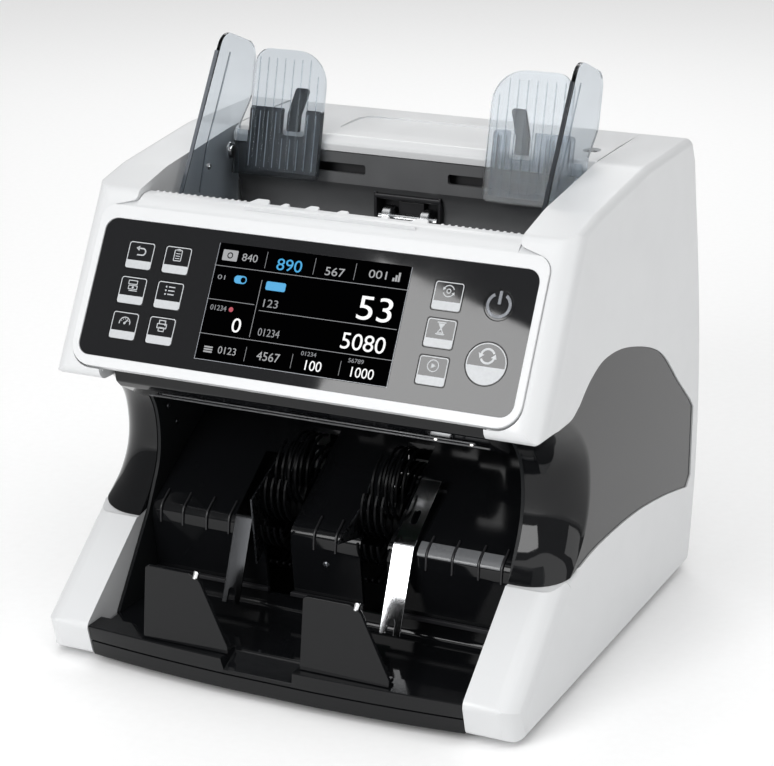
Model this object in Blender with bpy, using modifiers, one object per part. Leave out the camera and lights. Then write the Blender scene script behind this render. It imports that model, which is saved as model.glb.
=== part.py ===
"""Banknote counting machine: a hopper on top, a tilted control head and an open stacker pocket in front.

Lengths in this file are millimetres, and the helpers turn them to metres. X runs to the machine's right as
its user sees it, Y from the toe line to the back, and Z up from the underside of the covers. The empty called
machine_frame carries everything, so that the finished machine stands on its feet with the middle of its
footprint at the origin. Sections marked (y, z) are cut across the machine and are extruded along X.
"""

import math

import bmesh
import bpy
from mathutils import Vector

MM = 0.001

# Driving dimensions.
WIDTH = 280.0
TOE_Y = -4.6
BACK_Y = 278.1
TOP_Z = 262.0
FOOT_HEIGHT = 4.0
GAP = 0.3

SIDE_INNER_X = 110.3
SIDE_OUTER_X = WIDTH / 2
FRAME_PLATE = (108.2, 110.0)
BAY_HALF = 107.8
COVER_WALL = 2.6

# The control head: a plane that leans back, seen through its own centre (y, z).
HEAD_TILT = 29.0
HEAD_CENTRE = (41.8, 197.6)
GLASS = (249.0, 75.0)
GLASS_THICK = 2.7
BEZEL_PROUD = 0.8
BEZEL_HALF = 128.7
BEZEL_LOW = -44.0
SCREEN = (111.0, 62.8)
SCREEN_CENTRE_X = 0.6
KEY = (16.5, 15.5)
KEY_DEPTH = 5.4
KEY_TRAVEL_ROOM = 0.9
KEY_COLUMNS = (-100.2, -77.8)
KEY_COLUMN_RIGHT = 78.0
KEY_ROWS = (18.8, -0.4, -19.6)
RESTART_AT = (105.5, -12.3)
RESTART_RADIUS = 11.2
POWER_AT = (105.9, 17.6)
POWER_RADIUS = 8.0

# Shafts (y, z), all parallel to X.
PICKUP_AXIS = (116.4, 206.5)
FEED_AXIS = (155.0, 194.0)
STACKER_AXIS = (98.0, 70.0)
MOTOR_AXIS = (200.0, 120.0)
PINCH_AXIS = (172.6, 216.5)
PICKUP_RADIUS = 15.0
FEED_RADIUS = 18.0
SHAFT_RADIUS = 4.0
WHEEL_X = 29.0
WHEEL_RADIUS = 38.5
WHEEL_WIDTH = 13.0
WHEEL_FINGERS = 9

# Drive belts: pulley radii and the two planes that the belts run in.
BELT = 1.5
BELT_A_X = (-106.0, -101.4)
BELT_B_X = (-99.0, -94.4)
FEED_PULLEY = 11.0
PICKUP_PULLEY = 7.5
MOTOR_PULLEY = 8.0
STACKER_PULLEY = 8.0

# Lid with the hopper's back plate.
LID_HINGE = (243.4, 257.6)
LID_BARREL = 3.7
LID_FRONT_Y = 168.8
PLATE_THICK = 2.5
SLOT_Z = (238.0, 247.4)
SLOT_X = (25.0, 100.0)

# Hopper guides.
GUIDE_LEAN = 13.0
GUIDE_FOOT = (157.5, 236.0)
GUIDE_SIDE_X = 105.0
GUIDE_SHEET = 2.4


# ---------------------------------------------------------------- scene and materials

for old in list(bpy.data.objects):
    bpy.data.objects.remove(old, do_unlink=True)

PARTS = bpy.data.collections.new("banknote_counter")
CUTTERS = bpy.data.collections.new("cutters")
bpy.context.scene.collection.children.link(PARTS)
bpy.context.scene.collection.children.link(CUTTERS)
CUTTERS.hide_render = True


def finish(name, colour, roughness, metallic=0.0, alpha=1.0):
    material = bpy.data.materials.new(name)
    material.use_nodes = True
    shader = material.node_tree.nodes["Principled BSDF"]
    shader.inputs["Base Color"].default_value = (*colour, 1.0)
    shader.inputs["Roughness"].default_value = roughness
    shader.inputs["Metallic"].default_value = metallic
    shader.inputs["Alpha"].default_value = alpha
    material.diffuse_color = (*colour, alpha)
    return material


WHITE = finish("white_plastic", (0.83, 0.84, 0.85), 0.38)
BLACK = finish("black_gloss_plastic", (0.012, 0.013, 0.015), 0.12)
PLATE = finish("dark_grey_plastic", (0.055, 0.055, 0.058), 0.45)
GLAZING = finish("black_panel", (0.015, 0.016, 0.018), 0.06)
SCREEN_FACE = finish("display_face", (0.004, 0.005, 0.012), 0.08)
KEY_FACE = finish("key_face", (0.30, 0.31, 0.32), 0.25)
SMOKE = finish("smoke_blue_clear_plastic", (0.42, 0.49, 0.56), 0.08, alpha=0.4)
STEEL = finish("bright_steel", (0.72, 0.73, 0.74), 0.2, 1.0)
RUBBER = finish("rubber", (0.02, 0.02, 0.02), 0.8)
ROLLER = finish("roller_rubber", (0.05, 0.05, 0.055), 0.7)
BOARD = finish("circuit_board", (0.02, 0.13, 0.05), 0.5)
CASE = finish("grey_metal", (0.5, 0.51, 0.52), 0.4, 0.9)
DARK = finish("black_satin_plastic", (0.02, 0.02, 0.022), 0.4)


def empty(name, at, turn=(0.0, 0.0, 0.0), parent=None):
    """A frame to hang pieces on, at a place in millimetres, turned by degrees."""
    holder = bpy.data.objects.new(name, None)
    PARTS.objects.link(holder)
    holder.parent = parent
    holder.location = Vector(at) * MM
    holder.rotation_euler = [math.radians(angle) for angle in turn]
    return holder


MACHINE = empty("machine_frame", (0.0, -(TOE_Y + BACK_Y) / 2, FOOT_HEIGHT))
HEAD = empty("head_frame", (0.0, *HEAD_CENTRE), (90.0 - HEAD_TILT, 0.0, 0.0), MACHINE)
GUIDE_FRAME = empty("guide_frame", (0.0, *GUIDE_FOOT), (90.0 - GUIDE_LEAN, 0.0, 0.0), MACHINE)

# Turns that lay a flat outline across the machine (y, z), upright and facing the user (x, z), or flat (x, y).
ACROSS = (90.0, 0.0, 90.0)
UPRIGHT = (90.0, 0.0, 0.0)
FLAT = (0.0, 0.0, 0.0)


# ---------------------------------------------------------------- outlines


def smooth(points, steps=3):
    """A smooth open line through the points (Catmull-Rom)."""
    ends = [points[0], *points, points[-1]]
    line = []
    for before, start, end, after in zip(ends, ends[1:], ends[2:], ends[3:]):
        for step in range(steps):
            t = step / steps
            weights = (
                (-t + 2 * t**2 - t**3) / 2,
                (2 - 5 * t**2 + 3 * t**3) / 2,
                (t + 4 * t**2 - 3 * t**3) / 2,
                (-(t**2) + t**3) / 2,
            )
            knots = (before, start, end, after)
            line.append(tuple(sum(w * knot[axis] for w, knot in zip(weights, knots)) for axis in (0, 1)))
    return [*line, points[-1]]


def rounded(corners, step=30.0):
    """A closed outline whose corners (u, v, radius) are rounded by arcs of about `step` degrees a side."""
    outline = []
    for index, corner in enumerate(corners):
        here = Vector(corner[:2])
        radius = corner[2] if len(corner) > 2 else 0.0
        back = (Vector(corners[index - 1][:2]) - here).normalized()
        ahead = (Vector(corners[(index + 1) % len(corners)][:2]) - here).normalized()
        if not radius:
            outline.append(tuple(here))
            continue
        half = back.angle(ahead) / 2
        centre = here + (back + ahead).normalized() * (radius / math.sin(half))
        start = here + back * (radius / math.tan(half)) - centre
        turn = math.pi - 2 * half
        count = max(1, round(math.degrees(turn) / step))
        sign = 1.0 if back.x * ahead.y - back.y * ahead.x < 0 else -1.0
        for number in range(count + 1):
            angle = sign * turn * number / count
            spun = Vector(
                (
                    start.x * math.cos(angle) - start.y * math.sin(angle),
                    start.x * math.sin(angle) + start.y * math.cos(angle),
                )
            )
            outline.append(tuple(centre + spun))
    return outline


def rectangle(low, high, radius=0.0, step=30.0):
    (u0, v0), (u1, v1) = low, high
    return rounded([(u0, v0, radius), (u1, v0, radius), (u1, v1, radius), (u0, v1, radius)], step)


def centred(size, centre=(0.0, 0.0), radius=0.0, grow=0.0):
    half = (size[0] / 2 + grow, size[1] / 2 + grow)
    low = (centre[0] - half[0], centre[1] - half[1])
    high = (centre[0] + half[0], centre[1] + half[1])
    return rectangle(low, high, radius)


def circle(centre, radius, sides=20):
    turns = [2 * math.pi * side / sides for side in range(sides)]
    return [(centre[0] + radius * math.cos(t), centre[1] + radius * math.sin(t)) for t in turns]


def around(wheels, extra, sides=20):
    """The convex line that a belt takes round several pulleys (centre, radius), `extra` outside them."""
    points = [Vector(p) for centre, radius in wheels for p in circle(centre, radius + extra, sides)]
    hull = []
    here = min(points, key=lambda p: (p.x, p.y))
    first = here
    while not hull or (here - first).length > 1e-9:
        hull.append(tuple(here))
        best = points[0] if (points[0] - here).length > 1e-9 else points[1]
        for point in points:
            side = (best - here).cross(point - here)
            farther = abs(side) < 1e-7 and (point - here).length > (best - here).length
            if side < -1e-7 or farther:
                best = point
        here = best
    return hull


def band(line, thick):
    """The closed outline of a bent sheet: the open line is its visible side, the other is to its right."""
    other = []
    for index, point in enumerate(line):
        here = Vector(point)
        normals = []
        for near in (index - 1, index):
            if 0 <= near < len(line) - 1:
                along = (Vector(line[near + 1]) - Vector(line[near])).normalized()
                normals.append(Vector((along.y, -along.x)))
        mean = sum(normals, Vector((0.0, 0.0))).normalized()
        other.append(tuple(here + mean * (thick / mean.dot(normals[0]))))
    return [*line, *reversed(other)]


# ---------------------------------------------------------------- solids


def add(name, mesh, material, parent, cutter=False):
    thing = bpy.data.objects.new(name, mesh)
    (CUTTERS if cutter else PARTS).objects.link(thing)
    thing.parent = parent
    if cutter:
        thing.hide_render = True
        thing.display_type = "WIRE"
    else:
        mesh.materials.append(material)
    return thing


def settle(thing, at, turn):
    thing.location = Vector(at) * MM
    thing.rotation_euler = [math.radians(angle) for angle in turn]
    return thing


def plate(name, outlines, span, turn, material=None, at=(0.0, 0.0, 0.0), parent=None, origin=(0.0, 0.0)):
    """A flat outline, with any holes, as thick as `span` along its own normal; no material means a cutter.

    `origin` is the point of the outline that becomes the object's own origin.
    """
    curve = bpy.data.curves.new(name, "CURVE")
    curve.dimensions = "2D"
    curve.fill_mode = "BOTH"
    curve.extrude = (span[1] - span[0]) / 2 * MM
    for outline in outlines:
        spline = curve.splines.new("POLY")
        spline.points.add(len(outline) - 1)
        spline.use_cyclic_u = True
        for point, (u, v) in zip(spline.points, outline):
            point.co = ((u - origin[0]) * MM, (v - origin[1]) * MM, 0.0, 1.0)
    drawn = bpy.data.objects.new(name + "_line", curve)
    PARTS.objects.link(drawn)
    graph = bpy.context.evaluated_depsgraph_get()
    mesh = bpy.data.meshes.new_from_object(drawn.evaluated_get(graph))
    bpy.data.objects.remove(drawn)
    work = bmesh.new()
    work.from_mesh(mesh)
    bmesh.ops.translate(work, verts=work.verts, vec=(0.0, 0.0, (span[0] + span[1]) / 2 * MM))
    bmesh.ops.remove_doubles(work, verts=work.verts, dist=1e-6)
    bmesh.ops.dissolve_limit(work, angle_limit=0.001, verts=work.verts, edges=work.edges)
    bmesh.ops.recalc_face_normals(work, faces=work.faces)
    work.to_mesh(mesh)
    work.free()
    thing = add(name, mesh, material, parent or MACHINE, cutter=material is None)
    return settle(thing, at, turn)


def section(name, outline, half, material=None, centre_x=0.0, origin=(0.0, 0.0), parent=None):
    """A (y, z) section extruded along X, evenly to both sides of centre_x, with its origin at (y, z)."""
    outlines = outline if isinstance(outline[0], list) else [outline]
    at = (centre_x, *origin)
    return plate(name, outlines, (-half, half), ACROSS, material, at, parent, origin)


def box(name, low, high, material=None, parent=None, turn=FLAT):
    """A box from one corner to the other, in its parent's frame."""
    mesh = bpy.data.meshes.new(name)
    work = bmesh.new()
    bmesh.ops.create_cube(work, size=MM)
    size = [b - a for a, b in zip(low, high)]
    bmesh.ops.scale(work, vec=size, verts=work.verts)
    work.to_mesh(mesh)
    work.free()
    thing = add(name, mesh, material, parent or MACHINE, cutter=material is None)
    return settle(thing, [(a + b) / 2 for a, b in zip(low, high)], turn)


def turned(name, profile, at, material, steps=20, turn=(0.0, 90.0, 0.0), parent=None):
    """A turned piece: its profile (radius, height) runs from the top down, along X unless turned."""
    mesh = bpy.data.meshes.new(name)
    points = [(radius * MM, 0.0, height * MM) for radius, height in profile]
    mesh.from_pydata(points, [(n, n + 1) for n in range(len(points) - 1)], [])
    thing = add(name, mesh, material, parent or MACHINE, cutter=material is None)
    screw = thing.modifiers.new("turn", "SCREW")
    screw.angle = 2 * math.pi
    screw.steps = steps
    screw.render_steps = steps
    screw.use_merge_vertices = True
    screw.merge_threshold = 1e-6
    screw.use_normal_calculate = False
    return settle(thing, at, turn)


def bevel(thing, width, segments=2, angle=40.0, weighted=False):
    modifier = thing.modifiers.new("bevel", "BEVEL")
    modifier.width = width * MM
    modifier.segments = segments
    modifier.limit_method = "WEIGHT" if weighted else "ANGLE"
    modifier.angle_limit = math.radians(angle)
    modifier.use_clamp_overlap = True
    return thing


def join(thing, other, operation):
    modifier = thing.modifiers.new(operation.lower(), "BOOLEAN")
    modifier.operation = operation
    modifier.object = other
    modifier.solver = "EXACT"
    return thing


def cut(thing, *cutters):
    for cutter in cutters:
        join(thing, cutter, "DIFFERENCE")
    return thing


def fuse(thing, *others):
    """Joins helper solids to a piece, to make one body."""
    for other in others:
        join(thing, other, "UNION")
    return thing


# ---------------------------------------------------------------- casing

UPPER_BACK = [(251.5, 249.0), (257.0, 224.0), (265.0, 190.0), (273.2, 145.0)]
BACK_LINE = [*UPPER_BACK, (277.9, 90.0), (276.6, 45.0), (271.0, 6.0)]
UPPER_THROAT = [(78.2, 104.0), (74.5, 122.0), (63.0, 137.0), (46.0, 150.2)]
THROAT = [(57.0, 62.3), (68.0, 73.0), (76.0, 88.0), *UPPER_THROAT]
FRONT_FIN = [(76.0, 157.5), (92.0, 167.0), (114.0, 172.0), (150.0, 167.5)]
FIN = [*FRONT_FIN, (200.0, 150.5), (236.0, 122.5), (259.0, 104.5)]
SWOOSH = [(259.0, 50.8), (215.0, 60.2), (165.0, 67.2), (110.0, 69.2), (76.0, 66.2)]


def cover_outline():
    """The side cover's (y, z) outline: toe, sloping leg, throat notch, head and curved back."""
    leg = [(5.0, 0.0, 1.0), (-0.5, 19.0, 3.0), (57.0, 64.5), (80.0, 66.5)]
    head = [(80.0, 150.6), (17.2, 151.2, 7.0)]
    top = [(68.5, 244.6, 6.0), (98.0, 251.6, 30.0), (170.0, 260.4, 60.0), (244.5, TOP_Z, 6.0)]
    back = smooth(BACK_LINE, 2)
    return rounded([*leg, *head, *top, *back, (268.5, 0.0, 2.0)])


def insert_outline(grow):
    """The black throat insert's (y, z) outline, drawn larger by `grow` where it lies in the cover."""
    throat = smooth(THROAT, 2)
    fin = [(60.0, 150.2 + grow), *[(y, z + grow) for y, z in smooth(FIN, 2)]]
    back = [(264.5 + grow, 99.0), (264.8 + grow, 56.0)]
    swoosh = [(y, z - grow) for y, z in smooth(SWOOSH, 2)]
    return throat, [*fin, *back, *swoosh]


def weigh_outer_rim(thing, outer_sign):
    """Marks the cover's outer rim for bevelling: widely round down the front, tightly elsewhere."""
    mesh = thing.data
    weights = mesh.attributes.new("bevel_weight_edge", "FLOAT", "EDGE")
    limit = (SIDE_OUTER_X - SIDE_INNER_X) / 2 - 0.1
    for edge in mesh.edges:
        ends = [mesh.vertices[number].co / MM for number in edge.vertices]
        if any(end.z * outer_sign < limit for end in ends):
            continue
        y, z = (sum(end[axis] for end in ends) / 2 for axis in (0, 1))
        facing = z > 151.5 and y < 68.0 or z < 62.0 and y < 53.0
        weights.data[edge.index].value = 1.0 if facing else 0.36


def side_cover(name, sign):
    """A hollow cover: its outer rim is rounded, and the insert and the bezel sit in openings in it."""
    middle = sign * (SIDE_INNER_X + SIDE_OUTER_X) / 2
    half = (SIDE_OUTER_X - SIDE_INNER_X) / 2
    cover = section(name, cover_outline(), half, WHITE, middle)
    weigh_outer_rim(cover, sign)
    bevel(cover, 12.0, 3, weighted=True)
    _, inner = insert_outline(GAP)
    opening = [(20.0, 66.0), (57.0, 62.0), *inner[::-1], (46.0, 150.6), (20.0, 150.6)]
    leg_room = [(12.0, 4.0), (12.0, 18.0), (60.0, 58.0), (84.0, 60.0)]
    head_room = [(84.0, 155.0), (34.0, 155.0), (80.0, 238.0), (238.0, 252.0)]
    back_room = [(250.0, 222.0), (270.0, 100.0), (262.0, 4.0)]
    cavity = section(name + "_room", [*leg_room, *head_room, *back_room], half - COVER_WALL, None, middle)
    hole = section(name + "_opening", opening[::-1], half + 2.0, None, middle)
    seat = plate(name + "_bezel_seat", [bezel_outline(GAP)], (-6.0 - GAP, 6.0), FLAT, parent=HEAD)
    return cut(cover, cavity, hole, seat)


def side_insert(name, sign):
    """The black side insert: it shows as a fin on the side and as the concave throat in front."""
    low, high = SIDE_INNER_X, SIDE_OUTER_X - 0.6
    throat, inner = insert_outline(0.0)
    insert = section(name, [*throat, *inner], (high - low) / 2, BLACK, sign * (low + high) / 2)
    throat_room = [(66.0, 68.6), (76.0, 80.0), (81.2, 96.0), (81.2, 112.0), (74.0, 132.0), (64.0, 145.0)]
    fin_room = [(78.0, 155.0), (94.0, 164.0), (114.0, 169.0), (150.0, 164.6), (198.0, 148.0), (234.0, 120.4)]
    swoosh_room = [(261.6, 97.0), (261.6, 56.0), (214.0, 63.2), (165.0, 70.2), (110.0, 72.2), (80.0, 69.6)]
    room = [*throat_room, *fin_room, *swoosh_room]
    cavity = section(name + "_room", room, (high - low) / 2, None, sign * ((low + high) / 2 - COVER_WALL))
    return cut(bevel(insert, 0.8, 1), cavity)


def bezel_outline(grow=0.0):
    """The control head's frame in the head's own plane, with shoulders that narrow to the hopper's width."""
    side = BEZEL_HALF + grow
    shoulder = BAY_HALF + 2.0 + grow
    low = BEZEL_LOW - grow
    half = [(side, low, 13.0), (side, 43.0, 9.0), (shoulder, 49.0, 4.0), (shoulder, 56.0)]
    return rounded([*half, *[(-corner[0], *corner[1:]) for corner in reversed(half)]])


def key_places():
    """Every panel key: name, centre in the head's plane, and its outline drawn with a given growth."""
    names = ("back", "report", "batch", "menu", "speed", "print")
    places = []
    for number, name in enumerate(names):
        centre = (KEY_COLUMNS[number % 2], KEY_ROWS[number // 2])
        places.append(("key_" + name, centre, KEY))
    for name, row in zip(("currency", "add", "mode"), KEY_ROWS):
        places.append(("key_" + name, (KEY_COLUMN_RIGHT, row), KEY))
    places.append(("key_restart", RESTART_AT, RESTART_RADIUS))
    places.append(("key_power", POWER_AT, POWER_RADIUS))
    return places


def key_outline(centre, size, grow):
    if isinstance(size, tuple):
        return centred(size, centre, 1.6, grow)
    return circle(centre, size + grow, 24)


def control_head():
    """The panel's white frame and rim, its black face with the keys and the display, and the board below."""
    frame = plate("front_cover", [bezel_outline()], (-6.0, BEZEL_PROUD), FLAT, WHITE, parent=HEAD)
    bevel(frame, 1.2, 2)
    rim_line = [(62.5, 233.0), (67.0, 240.6), (71.0, 242.4), (79.4, 242.6), (79.4, 236.0)]
    rim = section("rim_profile", [*rim_line, (74.0, 236.0), (70.0, 238.0), (66.0, 231.0)], BAY_HALF + 2.0)
    fuse(frame, rim)
    above = [(66.5, 240.2), (60.0, 250.0), (90.0, 262.0), (90.0, 243.0), (70.6, 242.6)]
    cut(frame, section("bezel_trim", above, WIDTH / 2))
    seat = centred(GLASS, (0, 0), 7.0, GAP)
    cut(frame, plate("glass_seat", [seat], (-GLASS_THICK - GAP, 6.0), FLAT, parent=HEAD))
    low, high = KEY_ROWS[2] - 9.0, KEY_ROWS[0] + 9.0
    rooms = {
        "display_room": centred((119.0, 70.0), (SCREEN_CENTRE_X, 0.0)),
        "left_key_room": rectangle((KEY_COLUMNS[0] - 9.4, low), (KEY_COLUMNS[1] + 9.4, high)),
        "right_key_room": rectangle((KEY_COLUMN_RIGHT - 9.4, low), (118.4, high)),
    }
    for name, room in rooms.items():
        cut(frame, plate(name, [room], (-8.0, 0.0), FLAT, parent=HEAD))

    holes = [key_outline(centre, size, GAP) for _, centre, size in key_places()]
    screen_hole = centred(SCREEN, (SCREEN_CENTRE_X, 0.0), 0.8, GAP)
    outlines = [centred(GLASS, (0, 0), 7.0), screen_hole, *holes]
    plate("control_panel", outlines, (-GLASS_THICK, 0.0), FLAT, GLAZING, parent=HEAD)

    module = centred((118.0, 69.0), (SCREEN_CENTRE_X, 0.0))
    display = plate("lcd_display", [module], (-8.0, -3.2), FLAT, SCREEN_FACE, parent=HEAD)
    screen = centred(SCREEN, (SCREEN_CENTRE_X, 0.0), 0.8)
    fuse(display, plate("display_step", [screen], (-4.0, -0.15), FLAT, parent=HEAD))
    for name, centre, size in key_places():
        outline = key_outline((0.0, 0.0), size, 0.0)
        at = (*centre, -KEY_DEPTH / 2)
        plate(name, [outline], (-KEY_DEPTH / 2, KEY_DEPTH / 2), FLAT, KEY_FACE, at, HEAD)
    board_top = -KEY_DEPTH - KEY_TRAVEL_ROOM - 2.4
    board_low = board_top - 1.6
    plate("control_board", [centred((213.0, 62.0))], (board_low, board_top), FLAT, BOARD, parent=HEAD)


def casing():
    """Side covers with their black inserts, the rear cover with its vents, and the base pan."""
    for name, sign in (("left_side_cover", -1), ("right_side_cover", 1)):
        side_cover(name, sign)
    for name, sign in (("left_side_insert", -1), ("right_side_insert", 1)):
        side_insert(name, sign)
    back = band([(249.6, 255.6), (250.4, 251.0), *smooth(BACK_LINE, 2)[1:-1], (269.8, 3.2)], 2.5)
    rear = section("rear_cover", back, BAY_HALF + 2.0, WHITE)
    opening = box("connector_opening", (-101.3, 255.0, 13.7), (-8.7, 290.0, 60.3))
    cut(rear, opening)
    for row in range(5):
        low = 120.0 + 7.0 * row
        cut(rear, box("vent_%d" % row, (20.0, 250.0, low), (90.0, 290.0, low + 2.6)))
    pan = [(14.0, 0.2), (268.0, 0.2), (268.0, 2.8), (18.0, 2.8), (18.0, 12.0), (14.0, 12.0)]
    section("base_pan", pan, BAY_HALF + 2.0, DARK)


# ---------------------------------------------------------------- front lip and stacker pocket


def front_lip():
    """The bowed bar across the toe: it leans in towards the floor, with a scoop between the note stops."""
    half = BAY_HALF + 1.9
    bow = smooth([(-half, 0.2), (-half / 2, -3.2), (0.0, TOE_Y), (half / 2, -3.2), (half, 0.2)], 3)
    lip = plate("front_lip", [[*bow, (half, 13.4), (-half, 13.4)]], (0.2, 19.0), FLAT, BLACK)
    for vertex in lip.data.vertices:
        if vertex.co.z < 0.001 and vertex.co.y < 0.005:
            vertex.co.y += (3.1 + 2.1 * (vertex.co.x / MM / half) ** 4) * MM
    scoop = section("lip_scoop", [(-8.0, 9.6), (11.5, 20.0), (-8.0, 24.0)], 20.6, None, -4.6)
    cut(bevel(lip, 0.8, 1), scoop)


def note_stop(name, left_x):
    """A paddle that stops the notes: upright, cut away along its right side, with a rib on its back."""
    foot_corners = [(0.0, 19.3), (51.0, 19.3), (51.0, 23.0, 1.0)]
    corners = [*foot_corners, (34.6, 58.2, 5.0), (29.0, 61.0, 2.0), (2.6, 61.0, 2.5)]
    face = rounded([(left_x + corner[0], *corner[1:]) for corner in corners])
    paddle = plate(name, [face], (-2.6, 0.0), UPRIGHT, BLACK, (0.0, 0.6, 0.0))
    foot = box(name + "_foot", (left_x + 0.7, 1.2, 19.5), (left_x + 50.0, 9.0, 21.8))
    rib_line = [(1.2, 20.0), (9.0, 20.0), (9.0, 30.0), (3.6, 57.0), (1.2, 57.0)]
    rib = section(name + "_rib", rib_line, 1.2, None, left_x + 26.0)
    return fuse(paddle, foot, rib)


def pocket():
    """The stacker pocket's back panel with its wheel slots, the two bright stack guides and the bar above."""
    lower = [(14.2, 15.4), (71.0, 15.4), (70.4, 28.0), (66.2, 60.0), (66.6, 65.4), (70.6, 68.4)]
    panel = section("pocket_panel", band([*lower, (139.5, 109.8), (141.0, 146.0)], 2.4), BAY_HALF, BLACK)
    for side, sign in (("left", -1), ("right", 1)):
        centre = sign * WHEEL_X
        half = WHEEL_WIDTH / 2 + 1.6
        cut(panel, box("wheel_slot_" + side, (centre - half, 50.0, 24.0), (centre + half, 128.0, 112.0)))
        bend = band([(48.0, 25.0), (64.4, 67.0), (73.6, 77.2), (104.5, 95.4), (108.6, 93.0)], 1.2)
        section(side + "_stack_guide", bend, 5.2, STEEL, sign * 48.6)
    bar_front = [(29.0, 158.2), (33.2, 156.0), (34.6, 148.2), (39.0, 144.0), (62.0, 131.4)]
    bar_back = [(64.4, 134.6), (44.0, 148.0), (42.0, 158.2)]
    section("throat_bar", [*bar_front, *bar_back][::-1], BAY_HALF, BLACK)
    note_stop("left_note_stop", -75.2)
    note_stop("right_note_stop", 18.4)


def frame_plates():
    """The two steel side frames; they carry the shafts and line the pocket."""
    lower_throat = [(63.0, 62.0), (69.5, 73.5), (76.6, 88.0)]
    throat = [*lower_throat, (78.6, 104.0), (75.0, 122.0), (63.6, 137.2), (47.0, 150.0)]
    back = [(262.0, 4.0), (268.0, 60.0), (262.0, 130.0), (246.0, 190.0)]
    head = [(160.0, 212.0), (100.0, 226.0), (84.0, 226.0), (52.0, 172.0), (44.0, 158.0)]
    outline = [*back, *head, *smooth(throat, 2)[::-1], (30.0, 15.8), (30.0, 4.0)]
    holes = [circle(axis, SHAFT_RADIUS + GAP, 14) for axis in (PICKUP_AXIS, FEED_AXIS, STACKER_AXIS)]
    middle = sum(FRAME_PLATE) / 2
    half = (FRAME_PLATE[1] - FRAME_PLATE[0]) / 2
    for name, sign in (("left_frame_plate", -1), ("right_frame_plate", 1)):
        section(name, [outline, *holes], half, BLACK, sign * middle)


# ---------------------------------------------------------------- hopper and lid


def hopper():
    """The sloping floor that the notes lie on, with openings for the rollers and the belt."""
    line = [(82.0, 238.4), (86.0, 235.4), (153.0, 205.0)]
    floor = section("hopper_floor", band(line, PLATE_THICK), BAY_HALF, PLATE)
    cut(floor, box("belt_notch", (-BAY_HALF - 1.0, 104.0, 195.0), (BELT_B_X[1] - 5.6, 160.0, 240.0)))
    for x in (-30.0, 30.0):
        cut(floor, box("pickup_slot", (x - 8.5, 99.0, 195.0), (x + 8.5, 134.0, 240.0)))
    for x in (-50.0, -12.0, 12.0, 50.0):
        cut(floor, box("feed_slot", (x - 8.5, 135.6, 195.0), (x + 8.5, 160.0, 240.0)))


def lid():
    """The hinged lid, its thickness screw, and the back plate and pinch roller that it carries."""
    hinge_y, hinge_z = LID_HINGE
    hinge = empty("lid_hinge", (0.0, hinge_y, hinge_z), parent=MACHINE)
    turns = [math.radians(turn) for turn in range(0, 181, 30)]
    barrel = [(hinge_y + LID_BARREL * math.sin(t), hinge_z + LID_BARREL * math.cos(t)) for t in turns]
    nose = [(LID_FRONT_Y, 252.0), (LID_FRONT_Y, 256.6), (170.2, 259.0), (173.4, 260.3)]
    skin = [*nose, (206.0, 261.4), *barrel]
    inside = [(238.0, 253.6), (236.0, 258.4), (206.0, 258.4), (174.0, 257.4), (171.6, 255.6), (171.6, 252.0)]
    top = section("top_cover", [*skin, *inside][::-1], BAY_HALF + 1.7, WHITE, parent=hinge, origin=LID_HINGE)
    top.location = (0.0, 0.0, 0.0)
    recess = bevel(box("lid_recess", (-52.0, 186.0, 260.4), (52.0, 224.0, 270.4)), 6.0, 2)
    bore = [(0, 10), (5.4, 10), (5.4, -10), (0, -10)]
    screw_hole = turned("screw_hole", bore, (98.0, 195.0, 262.0), None, 16, FLAT)
    cut(top, recess, screw_hole)
    turned(
        "thickness_screw",
        [(0, 9.4), (3.6, 9.4), (4.6, 8.6), (4.6, 5.4), (2.5, 5.0), (2.5, -12.0), (0, -13.0)],
        (98.0, 195.0, 251.0),
        STEEL,
        12,
        FLAT,
    )
    curl = [(171.4, 207.0), (173.6, 214.0), (174.4, 222.0), (172.6, 229.0)]
    line = [*curl, (LID_FRONT_Y, 234.0), (LID_FRONT_Y, 251.6)]
    back = section("hopper_back_plate", band(line, PLATE_THICK), BAY_HALF - 0.6, PLATE)
    for sign in (-1, 1):
        low, high = sorted((sign * SLOT_X[0], sign * SLOT_X[1]))
        cut(back, box("guide_slot", (low, 160.0, SLOT_Z[0]), (high, 180.0, SLOT_Z[1])))
    cut(back, box("roller_window", (-22.5, 160.0, 200.0), (22.5, 180.0, 226.5)))
    left_ear = box("roller_ear_l", (-25.0, 171.6, 209.0), (-21.6, 180.0, 234.2))
    right_ear = box("roller_ear_r", (21.6, 171.6, 209.0), (25.0, 180.0, 234.2))
    shelf = box("roller_shelf", (-25.0, 171.0, 231.0), (25.0, 180.0, 233.0))
    back_wall = box("roller_wall", (-25.0, 178.6, 209.0), (25.0, 180.6, 233.0))
    fuse(back, left_ear, right_ear, shelf, back_wall)
    ring, collar, pin = 6.0, 4.2, 2.2
    outer = [(0.0, 21.0), (pin, 21.0), (pin, 17.6), (collar, 17.6), (collar, 14.8)]
    half = [*outer, (ring, 14.8), (ring, 9.6), (pin, 9.6)]
    profile = [*half, *[(radius, -x) for radius, x in reversed(half)]]
    turned("pinch_roller", profile, (0.0, *PINCH_AXIS), STEEL, 16)


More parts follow.
